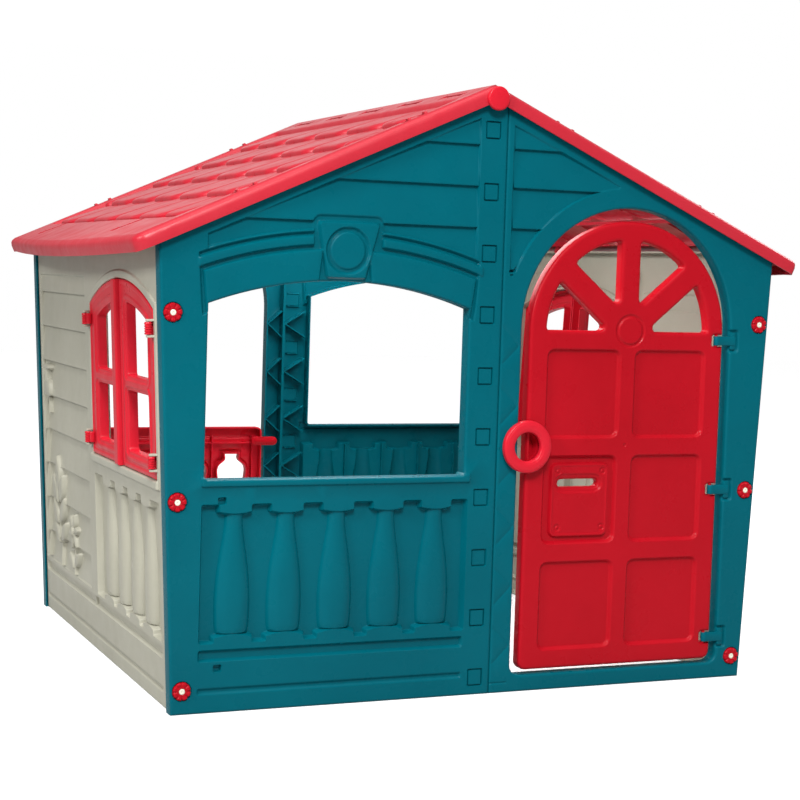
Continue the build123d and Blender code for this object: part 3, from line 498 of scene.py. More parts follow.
def plastic(slot, name, colour, deep, rough, shine, grain=0.0, grain_scale=(1, 1, 1)):
    """Moulded plastic with its slot: slow colour drift, uneven gloss, fine pits and, if asked, grain."""
    mat = bpy.data.materials.new(name)
    mat.use_nodes = True
    nodes, links = mat.node_tree.nodes, mat.node_tree.links
    shader = nodes["Principled BSDF"]
    set_inputs(shader, Specular_IOR_Level=shine, Coat_Weight=0.0)
    coords = nodes.new("ShaderNodeTexCoord").outputs["Object"]

    def noise(vector, **values):
        node = nodes.new("ShaderNodeTexNoise")
        set_inputs(node, **values)
        links.new(vector, node.inputs["Vector"])
        return node.outputs["Fac"]

    def bump(height, strength, distance, under=None):
        node = nodes.new("ShaderNodeBump")
        set_inputs(node, Strength=strength, Distance=distance)
        links.new(height, node.inputs["Height"])
        if under is not None:
            links.new(under, node.inputs["Normal"])
        return node.outputs["Normal"]

    ramp = nodes.new("ShaderNodeValToRGB")
    for stop, position, shade in zip(ramp.color_ramp.elements, (0.30, 0.70), (deep, colour)):
        stop.position = position
        stop.color = (*shade, 1)
    links.new(noise(coords, Scale=3.2, Detail=6.0, Roughness=0.62), ramp.inputs["Fac"])
    links.new(ramp.outputs["Color"], shader.inputs["Base Color"])

    gloss = nodes.new("ShaderNodeMapRange")
    set_inputs(gloss, From_Min=0.3, From_Max=0.7, To_Min=rough - 0.05, To_Max=rough + 0.08)
    links.new(noise(coords, Scale=22.0, Detail=4.0), gloss.inputs["Value"])
    links.new(gloss.outputs["Result"], shader.inputs["Roughness"])

    warp = bump(noise(coords, Scale=9.0, Detail=3.0), 0.25, 0.004)
    last = bump(noise(coords, Scale=520.0, Detail=2.0), 0.12, 0.0006, warp)
    if grain:
        stretch = nodes.new("ShaderNodeMapping")
        set_inputs(stretch, Scale=grain_scale)
        links.new(coords, stretch.inputs["Vector"])
        fibres = noise(stretch.outputs["Vector"], Scale=30.0, Detail=5.0, Distortion=0.6)
        last = bump(fibres, grain, 0.002, last)
    links.new(last, shader.inputs["Normal"])
    return slot, mat


teal = plastic("teal_plastic", "teal_plastic_finish", (0.0, 0.111, 0.147), (0.0, 0.092, 0.124), 0.28, 0.08)
red = plastic("red_plastic", "red_plastic_finish", (0.45, 0.0045, 0.013), (0.385, 0.0035, 0.01), 0.30, 0.12)
# A lighter tone of the same red plastic as the doors. On the half-door it is painted light: it stands for the
# brighter light that falls on that door.
rim_red = plastic("red_plastic", "bright_red_plastic_finish", (0.62, 0.012, 0.028), (0.55, 0.009, 0.022),
                  0.30, 0.20)
shutter_red = plastic("red_plastic", "shutter_plastic_finish", (0.62, 0.012, 0.028), (0.54, 0.009, 0.022),
                      0.32, 0.25)
roof_red = plastic("roof_red_plastic", "roof_plastic_finish", (0.52, 0.018, 0.034), (0.45, 0.014, 0.028),
                   0.34, 0.36, grain=0.20, grain_scale=(0.35, 3, 0.35))
grey = plastic("grey_plastic", "grey_plastic_finish", (0.43, 0.42, 0.342), (0.37, 0.36, 0.288), 0.40, 0.3,
               grain=0.16, grain_scale=(3, 0.3, 3))
cream = plastic("cream_plastic", "cream_plastic_finish", (0.84, 0.80, 0.66), (0.78, 0.74, 0.60), 0.42, 0.4)

# ---- end wall with the window
slope = math.tan(roof_tilt)
gable_top = ridge_height * 1000 - skin / math.cos(roof_tilt)
eave_height = (gable_top - slope * base_half) / (1 + slope * flare)
eave_width = base_half + flare * eave_height


def gable(u):
    return gable_top - slope * abs(u)


def edge_at(v):
    return base_half + flare * v


def boards(lips, lip_depth=-1.0, top_depth=-8.0):
    """Height of lapped boards: each is proud at its lower lip and deepest at its top."""
    def shape(P, d, h):
        v = P[:, 1]
        out = np.full(len(P), top_depth)
        for lower, upper in zip(lips, lips[1:]):
            on = (v >= lower) & (v < upper)
            t = (v[on] - lower) / (upper - lower)
            out[on] = lip_depth + (top_depth - lip_depth) * t
            near = on & (v < lower + 1.6)
            k = np.clip((lower + 1.6 - v[near]) / 1.6, 0, 1)
            out[near] -= 1.6 * (1 - dome(k))
        return out
    return shape


def lip_lines(lips, u0, u1):
    """Lines that keep each lip crisp in a panel's mesh."""
    n = max(2, int((u1 - u0) / 60))
    return [[(u0 + (u1 - u0) * i / n, v + dv) for i in range(n + 1)]
            for v in lips for dv in (-2.5, -0.15, 0.0, 0.5, 1.6, 4.0)]


def vase(middle, profile, floor, bulge):
    """A turned baluster against the back of a recess: a rounded bottle shape."""
    line = smooth_line(profile, 5)
    heights, widths = zip(*sorted((h, w) for w, h in line))

    def shape(P, d, h):
        w = np.interp(P[:, 1], heights, widths)
        x = np.clip(np.abs(P[:, 0] - middle) / np.maximum(w, 1), 0, 1)
        depth = bulge * (0.35 + 0.65 * w / w.max())
        return np.maximum(h, floor + depth * dome(x ** 1.1))
    return relief(shifted(mirrored(line), middle), shape=shape, soft=0.8,
                  rings=[2, 0.8, -0.8, -2.5, -5, -8, -12, -16, -21])


board_lips = [790, 864, 939, 1014, 1090]
zone_drop = 47.5                 # plain border above the gable boards
centre = (-283, 44)              # of the window's arch
window_radius = 715
half_angle = math.degrees(math.asin(247 / window_radius))
window_hole = [(-530, 415), (-525, 410), (-41, 410), (-36, 415)] \
    + arc(*centre, window_radius, 90 - half_angle, 90 + half_angle, 40)


def on_arch(radius, u):
    """Angle on an arch about the window's centre where it reaches a place along the wall."""
    return 90 - math.degrees(math.asin((u - centre[0]) / radius))


def arch_band(inner, outer, u0, u1, lean=0):
    """Part of the arch between two radii; lean makes its ends slope."""
    return arc(*centre, outer, on_arch(outer, u0 - lean), on_arch(outer, u1 + lean)) \
        + arc(*centre, inner, on_arch(inner, u1), on_arch(inner, u0))


def rounded(amount, width):
    """Shape of a pad whose face falls away over width near its edge."""
    def shape(P, d, h):
        t = np.clip(1 + d / width, 0, 1)
        return amount - 1.6 * (1 - dome(t))
    return shape


def bead_along(points, width, height):
    """A rounded bead along an open line."""
    p = np.asarray(points, float)
    t = np.gradient(p, axis=0)
    n = np.stack([-t[:, 1], t[:, 0]], 1) / np.linalg.norm(t, axis=1)[:, None] * width / 2

    def shape(P, d, h):
        x = np.clip(1 + d / (width / 2), 0, 1)
        return h + height * dome(1 - x)
    return relief(np.vstack([p + n, (p - n)[::-1]]), shape=shape, soft=0.5,
                  rings=[1.2, 0.3, -0.6, -2, -width / 2 + 0.3])


pad_rings = [1.6, 0.6, -0.4, -1.4, -3.2, -6]
step_rings = [2.4, 1.4, 0, -1.4, -2.4]
groove_rings = [3.4, 2.4, 0.8, -0.8, -2.4]
arch_rings = [2.6, 1.4, 0.2, -1, -2.4, -4.5, -8]
arch_zone = [(-533, gable(533) - zone_drop), (-533, 806)] \
    + arc(*centre, 807, on_arch(807, -533), on_arch(807, -25), 30) \
    + [(-25, gable(25) - zone_drop)]
front_middles = (-472, -376, -280, -184, -89)
vase_profile = [(29, 139), (31, 152), (32, 172), (32.2, 197), (31, 222), (28.5, 247), (24.5, 275),
                (20.5, 299), (17.5, 320), (16, 338), (17, 350)]
keystone = round_corners([(-334, 864), (-315, 764), (-242, 764), (-216, 864)], 6)


def balustrade(middles, left, right, bottom, top, profile):
    """A sunken panel with a scalloped head and foot and a row of half-round balusters in it."""
    floor, bulge = -13, 14.5
    loop = [(left, bottom)]
    for m in middles:
        loop += [(m - 37, bottom)] + arc(m, bottom - 95, 110, 109.7, 70.3, 9) + [(m + 37, bottom)]
    loop += [(right, bottom), (right, top)]
    for m in reversed(middles):
        loop += [(m + 31.5, top)] + arc(m, top + 96, 113, 286.2, 253.8, 9) + [(m - 31.5, top)]
    loop += [(left, top)]
    return [relief(round_corners(loop, 2, 3), height=floor, soft=2.6)] \
        + [vase(m, profile, floor, bulge) for m in middles]


window_features = [
    relief(arch_zone, shape=boards(board_lips), soft=1.5),
    relief(arch_band(700, 802, -540, -26, 8), height=-6.0, soft=2.4),
    relief(grown(clean(keystone), 10), height=-6.0, soft=2.4),
]
for u0, u1 in ((-551, -340), (-210, -11)):
    window_features.append(relief(round_corners(arch_band(779, 796, u0, u1), 6), shape=rounded(2.4, 8),
                                  soft=2.0, rings=arch_rings))
for u0, u1, lean in ((-532, -331, 8), (-228, -34, 10)):
    window_features.append(relief(arch_band(700, 771, u0, u1, lean), shape=rounded(1.6, 9), soft=2.2,
                                  rings=arch_rings))
window_features += [
    relief(keystone, shape=rounded(3.0, 7), soft=2.4, rings=arch_rings),
    relief(circle(-277, 813, 41), add=-5.5, soft=2.2, rings=[3.6, 2.2, 0.7, -0.7, -2.2]),
    relief(circle(-277, 813, 33), add=3.5, soft=2.2, rings=[2.2, 0.7, -0.7, -2.2, -3.6]),
]
window_features += balustrade(front_middles, -532, -29, 125, 365, vase_profile)
window_features += [
    relief(rect(-536, -24, 398, 414, 3), shape=rounded(4.5, 5), soft=1.8, rings=pad_rings),
    relief(rect(-533, -30, 93, 110, 3), add=-7, soft=2.4),
    relief(rect(-533, -30, 35, 43, 2), add=-4, soft=2.4),
]
for u, v in ((-504, 379), (-506, 85)):
    window_features.append(relief(rect(u, u + 14, v - 12, v, 2), add=-8, soft=0.8))
    window_features.append(relief(rect(u + 1, u + 12, v - 4, v, 1), add=4, soft=0.6))
# The snap tongues of the other moulding stand a little below the face, each by its own amount.
snap_depth, tongue_depths = 4.5, (0.5, 0.2, 2.4, 1.8, 0.3, 0.9, 0.5, 0.1, 0.4, 0.2)
for v, low in zip(snap_heights, tongue_depths):
    window_features.append(relief(rect(-15, 15, v - 16, v + 16, 2), add=-snap_depth, soft=0.6))
    window_features.append(relief(rect(-12.8, 12.8, v - 13.8, v + 13.8, 1.5), add=snap_depth - low, soft=0.6))


def bolt_seats(side):
    """Shallow round seats for the corner nuts."""
    return [relief(circle(side * (edge_at(v) - bolt_inset), v, 17.6), height=-3, soft=0.8)
            for v in bolt_heights]


def rungs(near, far, half):
    """Ends of the sloping ribs between two uprights, from one snap square to the next."""
    out = []
    for v in snap_heights[:6]:
        middle = v + snap_pitch / 2
        out += [((near, middle - half), (far, middle)), ((far, middle), (near, middle + half))]
    return out


def zigzag(near, far):
    return [(a, b, 2.4, -26.5, -3.5) for a, b in rungs(near, far, 31)]


window_features += bolt_seats(-1)
window_outline = [(-base_half, 0), (seam, 0), (seam, gable(seam) - tuck), (0, gable(0) - tuck),
                  (-eave_width + flare * tuck, eave_height - tuck)]
window_wall = panel_mesh("window_wall", window_outline, [window_hole], window_features, end_depth, 4.5,
                         lines=lip_lines(board_lips[1:4], -530, -26))
window_ribs = zigzag(-25, 26)
window_ribs += [((u, 128), (u, 362), 2.4, -25, -14.5) for u in (-424, -328, -232, -136)]
window_wall = with_ribs(window_wall, window_ribs)
for end, m in ends:
    place(window_wall, f"{end}_window_wall", m, "house", teal)

# ---- end wall with the doorway
doorway = arc(93, 51, 20, 180, 270, 6) + arc(507, 51, 20, 270, 360, 6) + arc(300, 685, 227, 0, 180, 60)
door_zone = [(44, gable(44) - zone_drop), (44, 786)] + arc(300, 685, 265, 157.6, 97.5, 24) \
    + [(270, gable(270) - zone_drop)]
door_lips = [790, 865, 939, 1010, 1090]
door_wall_features = [
    relief(door_zone, shape=boards(door_lips), soft=1.5),
    relief(rect(42, 52, 784, 788, 1), add=-5, soft=0.6),
    relief(rect(44, 50, 778, 781, 1), add=-3, soft=0.6),
    relief(rect(22, 66, 17.5, 20.5, 1), add=-1.2, soft=0.8),
]
# Sink marks over the ribs behind the strip beside the door.
door_wall_features += [relief(band(a, b, 2.4), add=-0.9, soft=1.8, rings=[1.8, 0, -1.2])
                       for a, b in rungs(34, 68, 34)]
door_wall_features += bolt_seats(1)
for v in clip_heights:
    door_wall_features.append(relief(rect(520, 546, v - 21, v + 21, 5), height=-5.5, soft=2.2))
door_wall_outline = [(seam, 0), (base_half, 0), (eave_width - flare * tuck, eave_height - tuck),
                     (seam, gable(seam) - tuck)]
door_wall = panel_mesh("door_wall", door_wall_outline, [doorway], door_wall_features, end_depth, 4.5,
                       lines=lip_lines(door_lips[1:4], 46, 262))
tongues = [((-12, v), (34, v), 25, -7.4, -4.6) for v in snap_heights]
door_wall = with_ribs(door_wall, zigzag(34, 69) + tongues)
for end, m in ends:
    place(door_wall, f"{end}_door_wall", m, "house", teal)

# ---- side walls
side_length = 500
side_height = eave_height - 2
window_half, window_foot = 237, 402
arch_rise, arch_top = 51, 752
arch_radius = window_half ** 2 / (2 * arch_rise) + arch_rise / 2
arch_centre = arch_top - arch_radius


def side_arch(grow):
    """The arched window of a side wall, grown by some millimetres."""
    r = arch_radius + grow
    half = window_half + grow
    a = math.degrees(math.asin(half / r))
    return [(side_middle - half, window_foot - grow), (side_middle + half, window_foot - grow)] \
        + arc(side_middle, arch_centre, r, 90 - a, 90 + a, 30)


def blob(points, height, middle):
    """A soft raised shape with a smooth outline, for the garden relief."""
    p = [Vector(q) for q in shifted(points, *middle)]
    m = len(p)
    loop = [q for i in range(m) for q in curve_piece(p[i - 1], p[i], p[(i + 1) % m], p[(i + 2) % m], 5)]

    def shape(P, d, h):
        t = np.clip(1 + d / 14, 0, 1)
        return np.maximum(h, -2.5 + height * (0.55 + 0.45 * dome(t)))
    return relief(loop, shape=shape, soft=1.4, rings=[1.8, 0.5, -0.8, -3, -7])


def turned(points, angle, size):
    c, s = math.cos(math.radians(angle)), math.sin(math.radians(angle))
    return [((x * c - y * s) * size, (x * s + y * c) * size) for x, y in points]


# A tap on a pipe, a leafy plant and a flower.
leaf = [(0, -34), (13, -22), (18, -2), (12, 20), (0, 36), (-12, 20), (-18, -2), (-13, -22)]
garden = [
    bead_along(smooth_line([(-444, 128), (-444, 220), (-446, 330), (-447, 430), (-440, 470),
                            (-424, 478), (-412, 466), (-408, 448)]), 9, 8),
    blob([(-26, -10), (26, -10), (28, 12), (14, 26), (-14, 26), (-28, 12)], 9, (-424, 496)),
    blob([(-6, -16), (6, -16), (7, 14), (-7, 14)], 11, (-424, 530)),
    blob([(-26, -5), (26, -5), (26, 5), (-26, 5)], 11, (-424, 548)),
    bead_along(smooth_line([(-318, 124), (-322, 150), (-330, 190), (-336, 230), (-340, 275)]), 8, 7),
]
for angle, size, u, v in ((8, 1.1, -340, 322), (-28, 1.0, -312, 292), (34, 1.0, -368, 288),
                          (-34, 0.95, -306, 246), (38, 0.95, -366, 238), (-44, 0.85, -298, 200),
                          (46, 0.85, -354, 192)):
    garden.append(blob(turned(leaf, angle, size), 9, (u, v)))
garden.append(bead_along(smooth_line([(-196, 124), (-199, 145), (-204, 165), (-207, 185)]), 7, 7))
flower = (-208, 214)
for angle in range(10, 370, 60):
    garden.append(blob(turned(leaf, angle - 90, 0.5), 8, arc(*flower, 23, angle, angle + 1, 2)[0]))
bud = [(10, 0), (7, 7), (0, 10), (-7, 7), (-10, 0), (-7, -7), (0, -10), (7, -7)]
garden.append(blob(turned(bud, 0, 1.1), 12, flower))
garden.append(blob(turned(leaf, -52, 0.7), 8, (-180, 158)))
garden.append(blob(turned(leaf, 50, 0.7), 8, (-228, 150)))

siding_lips = [110, 184, 260, 336, 411, 486, 562, 638, 713, 788]
side_middles = [side_middle + baluster_pitch * (k - 1.5) for k in range(4)]
side_features = [
    relief(rect(-487, -62, 120, 750, 4), shape=boards(siding_lips), soft=1.6),
    relief(side_arch(15), add=3.0, soft=1.6),
]
side_features += balustrade(side_middles, -8, 466, 119, 360, shifted(vase_profile, 0, -5.5))
side_features += [
    relief(rect(-18, 476, 386, 402.5, 3), shape=rounded(7.0, 6), soft=1.8, rings=pad_rings),
    relief(rect(-488, 466, 90, 108, 3), add=-7, soft=2.4),
    relief(rect(-488, 466, 29, 36, 2), add=-4, soft=2.2),
]
side_features += garden
side_outline = rect(-side_length, side_length, 0, side_height)
side_wall = panel_mesh("side_wall", side_outline, [side_arch(0)], side_features, side_depth, 3.0,
                       lines=lip_lines(siding_lips[1:9], -484, -65))
side_ribs = [((u, 123), (u, 356), 2.4, -30, -14.5) for u in (181, 277, 373)]
side_ribs += [((-35, 60), (-35, 800), 2.4, -31, -2)]


def shutter_lugs():
    """Pairs of lugs with a pin between, beside the window of a side wall."""
    lug_line = [(-4.4, barrel_axis)] + arc(0, barrel_axis, 4.4, 150, 10, 5) + [(9.8, 0), (0, 0)]
    pin = tube_mesh("pin", [(0, -14), (3, -14), (3, 14), (0, 14)], 16)
    parts = []
    for edge, out in ((-8, -1), (466, 1)):
        lug = rounded_block("lug", [(edge + out * x, y) for x, y in lug_line], -2, 2, 0.6)
        for v in barrel_heights:
            parts += [moved(lug, at(0, v + shift) @ level) for shift in (-14, 14)]
            parts.append(moved(pin, at(edge, v, barrel_axis) @ upright))
    return parts


side_wall = joined("side_wall", [with_ribs(side_wall, side_ribs)] + shutter_lugs())
for side, m in sides:
    place(side_wall, f"{side}_side_wall", m, "house", grey)

# ---- roof
roof_half = 542                             # half length of the ridge
eave_s = 671 / math.cos(roof_tilt)          # from the ridge down the slope, at the eave's ends
eave_bow = 20 / math.cos(roof_tilt)
tile_width, course = 180, 112


def shingle(u_top, u_low, v0, v1):
    """One shingle: deep under the course above, proud and rounded at its lower end."""
    r = 36 if v1 - v0 > 80 else 12
    loop = round_corners([(u_top, v0), (u_low, v0), (u_low, v1), (u_top, v1)], [0, r, r, 0], 6)
    sag = random.uniform(-0.25, 0.25)

    def shape(P, d, h):
        t = np.clip((P[:, 0] - (u_low - course)) / course, 0, 1)
        e = np.clip(1 + d / 13, 0, 1)
        crown = 1.4 * (1 - ((P[:, 1] - (v0 + v1) / 2) / ((v1 - v0) / 2)) ** 2)
        return -7.5 + (8.2 + sag) * t + crown * t - (2 + 4.5 * t) * (1 - dome(e))
    return relief(loop, shape=shape, soft=0.7, rings=[1.6, 0.7, -0.7, -2.4, -5, -9, -13])


def hook_pair(u, v):
    """Two small square holes with a hook in each, for a garland or cover."""
    out = []
    for cu in (u - 17, u + 17):
        out.append(relief(rect(cu - 7, cu + 7, v - 7, v + 7, 1), add=-19, soft=0.8))
        out.append(relief(rect(cu - 9, cu - 2, v - 4, v + 7, 1), shape=rounded(4, 2), soft=0.8))
    return out


roof_features = [relief(rect(69, 636, -500, 500, 10), height=-12, soft=7,
                        rings=[8.5, 7, 3.5, 0, -3.5, -7, -8.5])]
for k in reversed(range(5)):
    low_end = 181 + course * k
    shift = tile_width / 2 if k % 2 else 0
    joints = [v for v in (-540 + shift + tile_width * i for i in range(8)) if -460 < v < 460]
    cuts = [-486] + joints + [486]
    for v0, v1 in zip(cuts, cuts[1:]):
        roof_features.append(shingle(low_end - (158 if k else 108), low_end, v0 + 2.8, v1 - 2.8))
for v in (-405, -205, 0, 205, 405):
    roof_features.append(relief(rect(27, 36, v - 40, v + 40, 2), add=-19, soft=1))
    for end in (v - 43, v + 43):
        roof_features.append(relief(rect(22, 40, end - 6, end + 6, 1), add=-18, soft=0.9))
for v in (-518, 518):
    roof_features += hook_pair(170, v) + hook_pair(515, v)
for v in (-352, 288):
    roof_features.append(relief(band((640, v + 12), (690, v - 12), 6.5), add=-22, soft=1))
    roof_features.append(relief(rect(682, 700, v - 26, v - 2, 1), add=-21, soft=0.9))
roof_outline = [(-20, -roof_half)] \
    + arc(eave_s - 10, -roof_half + 10, 10, 270, 350, 5) \
    + [(eave_s + eave_bow * (1 - (v / 500) ** 2), v) for v in range(-510, 481, 55)] \
    + arc(eave_s - 26, roof_half - 26, 26, 10, 90, 7) + [(-20, roof_half)]
ridge_lines = [[(s, v) for v in range(-520, 521, 40)] for s in (0.0, 2.0, 12.0)]
roof = panel_mesh("roof", roof_outline, [], roof_features, end_depth, 14, lines=ridge_lines, grid=30)
roof_ribs = [((14, v), (720, v), 2.6, -22, -2) for v in (-531, 531)]
roof_ribs += [((u, -492), (u, 492), 2.6, -20, -13) for u in (293, 517)]
roof = with_ribs(roof, roof_ribs)
# Whatever reaches past the ridge is cut back to the upright plane where the two panels meet.
for vertex in roof.vertices:
    if vertex.co.x * math.cos(roof_tilt) + vertex.co.z * math.sin(roof_tilt) < 0:
        vertex.co.x = -vertex.co.z * math.tan(roof_tilt)
for side, sign in (("left", -1), ("right", 1)):
    m = plane((0, 0, ridge_height), (sign * math.cos(roof_tilt), 0, -math.sin(roof_tilt)),
              (sign * math.sin(roof_tilt), 0, math.cos(roof_tilt)))
    place(roof, f"roof_{side}", m, "house", roof_red)

# ---- ridge caps
cap_profile = [(0, -22), (7.4, -22), (8, -21), (8, 14), (21.2, 14), (22, 14.8)] \
    + arc(18, 17, 4, 0, 90, 6) + [(12, 21.7), (6, 22), (0, 22)]
cap = tube_mesh("cap", cap_profile, 48)
for end, m in ends:
    place(cap, f"ridge_cap_{end}", m @ at(0, 1097), "house", rim_red, "turned")

# ---- front door and its ring
set_back = at(0, 0, -4)     # of both doors' faces, behind the wall's


def notched_edge(heights):
    """Right-hand edge of a door from bottom to top, with its hinge notches."""
    right, deep, half = 514, 491, 11
    out = []
    for v in heights:
        out += [(right, v - half), (deep + 3, v - half), (deep, v - half + 3), (deep, v + half - 3),
                (deep + 3, v + half), (right, v + half)]
    return out


def stadium(u0, u1, v, r, n):
    """Outline of a slot with round ends."""
    return arc(u0, v, r, 90, 270, n) + arc(u1, v, r, -90, 90, n)


fan = (303, 677)
fan_sectors = []
for side in (1, -1):
    for corner, a0, a1 in (((39.4, 3), 1.0, 32.4), ((21, 47.6), 47.6, 83.1)):
        loop = [(side * x, y) for x, y in [corner] + arc(0, 0, 175, a0, a1, 9)]
        fan_sectors.append(shifted(round_corners(clean(loop), 8), *fan))
door_outline = [(92, 677)] + arc(108, 55, 16, 180, 270, 6) + arc(498, 55, 16, 270, 360, 6) \
    + notched_edge(clip_heights) + arc(*fan, 211, 0, 180, 60)
door_features = []
for u0, u1 in ((132.5, 285.5), (320.5, 473.5)):
    for v0, v1 in ((77, 241), (279, 442), (479, 643)):
        floor_height = -9 if (u0, v0) == (132.5, 279) else -7
        door_features.append(relief(rect(u0, u1, v0, v1, 13), height=floor_height, soft=3.2,
                                    rings=[4.5, 3.2, 1.6, 0, -1.6, -3.2, -4.5]))
# The letter plate with its slot, then screw heads, the middle stud and the fanlight's disc.
door_features += [
    relief(rect(148.5, 272, 290, 429, 12), shape=rounded(-2.6, 4), soft=1.6, rings=pad_rings),
    relief(rect(153.5, 267, 295, 424, 9), add=-0.7, soft=1.0),
    relief(stadium(175, 241, 391, 17, 9), height=-6, soft=2.2, rings=[3.4, 2.2, 0.8, -0.8, -2.2]),
]
dots = [(u, v, *dot) for u, v in ((164, 414), (259, 414), (165, 307), (260, 307))
        for dot in ((6.5, -1.6, 1.6), (2.6, 1.2, 0.8))]
dots += [(303, 463, 3.2, -1.0, 0.8), (303, 463, 1.6, 0.7, 0.5), (306, 681, 31, -2.2, 1.6),
         (306, 681, 25.5, 2.6, 1.6)]
door_features += [relief(circle(u, v, r), add=rise, soft=soft) for u, v, r, rise, soft in dots]
ring = (87, 463)
grip = [(99.5, 486)] + arc(*ring, 26, 62, -62, 12)
door_features.append(relief(grip, height=-13, soft=1.8))
door = panel_mesh("door", door_outline, fan_sectors + [stadium(173, 243, 391, 7.5, 7)], door_features,
                  leaf_depth, 6.5)
place(joined("door", [door] + hinge_pins(clip_heights)), "front_door", front_plane @ set_back, "door",
      red)


def ring_profile(inner, outer, low, high, bevel, steps):
    """Closed section of a flat ring with rounded edges."""
    r0, r1, z0, z1 = inner + bevel, outer - bevel, low + bevel, high - bevel
    out = []
    for r, z, a in ((r1, z1, 0), (r0, z1, 90), (r0, z0, 180), (r1, z0, 270)):
        out += arc(r, z, bevel, a, a + 90, steps + 1)
    return out + out[:1]


ring_parts = [moved(tube_mesh("ring", ring_profile(27, 49, 2, 16, 4.5, 5), 72), at(*ring)),
              moved(tube_mesh("ring_face", ring_profile(31.5, 44.5, 12, 16.6, 1.6, 3), 72), at(*ring))]
foot = tube_mesh("foot", [(0, -12), (4, -12), (4, -4), (8.5, -4), (7.5, -2), (7, 4), (0, 4)], 24)
ring_parts += [moved(foot, at(106, v)) for v in (430, 496)]
place(joined("ring", ring_parts), "door_ring_handle", front_plane, "door", rim_red)

# ---- hinge clips
# Each is a ring round the door's pin, an arm and a T head.
eye = arc(501, -6.6, 6.4, 60, 300, 13)
arm = moved(rounded_block("arm", eye + [(538, -12), (538, 0.6)], -9, 9, 1.8), level)
clip = joined("clip", [arm, rounded_block("head", rect(528.5, 541, -17, 17, 4), -21, -1.2, 2)])
for end, m, names in (("front", front_plane, ("lower", "middle", "upper")),
                      ("rear", rear_plane, ("lower", "upper"))):
    for v, name in zip(clip_heights, names):
        place(clip, f"{end}_hinge_clip_{name}", m @ at(0, v), "house", teal)

# ---- rear half-door and its latch
half_outline = arc(90, 51, 12, 180, 270, 5) + arc(502, 51, 12, 270, 360, 5) \
    + notched_edge(clip_heights[:2]) + arc(502, 393, 12, 0, 90, 5) + arc(90, 393, 12, 90, 180, 5)
gap_line = smooth_line([(11, 112), (14, 165), (20, 222), (33, 285), (33, 312), (17, 328), (17, 342)])
gaps = [shifted(mirrored(gap_line), 294 + baluster_pitch * (k - 1.5)) for k in range(4)]
half_features = [relief(rect(100, 478, 64, 380, 10), height=-5, soft=2.6)]
half_features += [relief(grown(clean(gap), 9), shape=rounded(-0.6, 4), soft=1.6, rings=pad_rings[:4])
                  for gap in gaps]
half_door = panel_mesh("half_door", half_outline, gaps, half_features, leaf_depth, 4.5)
half_ribs = [((u, 62), (u, 384), 2.4, -20, -8) for u in (100, 198, 294, 390, 478)]
half_ribs += [((100, v), (478, v), 2.4, -20, -8) for v in (84, 368)]
half_parts = [with_ribs(half_door, half_ribs)] + hinge_pins(clip_heights[:2])
# Painted light: the half-door takes the lighter red instead of the door red, so its colour carries the
# brighter light that falls on it.
place(joined("half_door", half_parts), "rear_half_door", rear_plane @ set_back, "half_door", rim_red)

pivot_profile = [(0, -37.5), (3, -37.5), (5.5, -36.6), (6.5, -35), (4, -34), (4, -12), (0, -12)]
latch_parts = [rounded_block("tongue", stadium(52, 96, 373, 10, 9), -35.5, -28.5, 2),
               rounded_block("finger", stadium(56, 92, 373, 5, 7), -37.2, -35, 1),
               moved(tube_mesh("pivot", pivot_profile, 20), at(50, 373))]
place(joined("latch", latch_parts), "half_door_latch", rear_plane, "latch", red)


# ---- shutters
def along_arch(u0, u1, grow, n=12):
    """Points from u0 to u1 on a side window's arch, grown by some millimetres."""
    places = [u0 + (u1 - u0) * k / n for k in range(n + 1)]
    return [(u, arch_centre + math.sqrt((arch_radius + grow) ** 2 - (u - side_middle) ** 2)) for u in places]


barrel_profile = [(3.4, -11), (5.6, -11)]
for k in range(5):
    low = -10.5 + 4.2 * k
    barrel_profile += [(6.8, low + 0.5), (6.8, low + 2.6), (5.4, low + 3.1), (5.4, low + 3.9)]
barrel_profile = barrel_profile[:-2] + [(5.6, 11), (3.4, 11), (3.4, -11)]
barrel = tube_mesh("barrel", barrel_profile, 28)


def shutter_mesh(half):
    """One window leaf; half is -1 or 1 for its side of the window."""
    edge = side_middle + half * 235.5
    free = side_middle + half * 2.5
    stile = side_middle + half * 189
    post = free + half * 36
    loop = [(free, 403.5), (edge, 403.5)] + along_arch(edge, free, -1.5)
    lower = rect(min(post, stile), max(post, stile), 435, 547, 7)
    upper = round_corners(clean([(post, 574), (stile, 574)] + along_arch(stile, post, -42, 8)), 6)
    features = [relief(grown(clean(loop), -9), height=-1.8, soft=1.4, rings=step_rings)]
    for pane in (lower, upper):
        features.append(relief(grown(clean(pane), 15), height=0.2, soft=1.4, rings=step_rings))
        features.append(relief(grown(clean(pane), 7), height=-3.2, soft=2.4, rings=groove_rings))
    if half < 0:
        meeting_strip = clean([(free + 1, 395), (free - 30, 395)] + along_arch(free - 30, free + 1, 8))
        features.append(relief(meeting_strip, shape=rounded(8, 6), soft=1.6, rings=pad_rings))
    parts = [panel_mesh("shutter", loop, [lower, upper], features, leaf_depth, 3.0, grid=20)]
    knuckle_sides = sorted((side_middle + half * 221, side_middle + half * 233))
    for v in barrel_heights:
        parts.append(moved(barrel, at(side_middle + half * window_half, v, 8.5) @ upright))
        parts.append(rounded_block("knuckle", rect(*knuckle_sides, v - 10.5, v + 10.5, 2), -1, 8, 1.5))
    return joined("shutter", parts)


leaves = {1: shutter_mesh(1), -1: shutter_mesh(-1)}
for m, half, side, end in ((left_plane, 1, "left", "front"), (left_plane, -1, "left", "rear"),
                           (right_plane, 1, "right", "rear"), (right_plane, -1, "right", "front")):
    place(leaves[half], f"{side}_shutter_{end}", m @ at(0, 0, 3), f"{side}_{end}_leaf", shutter_red)


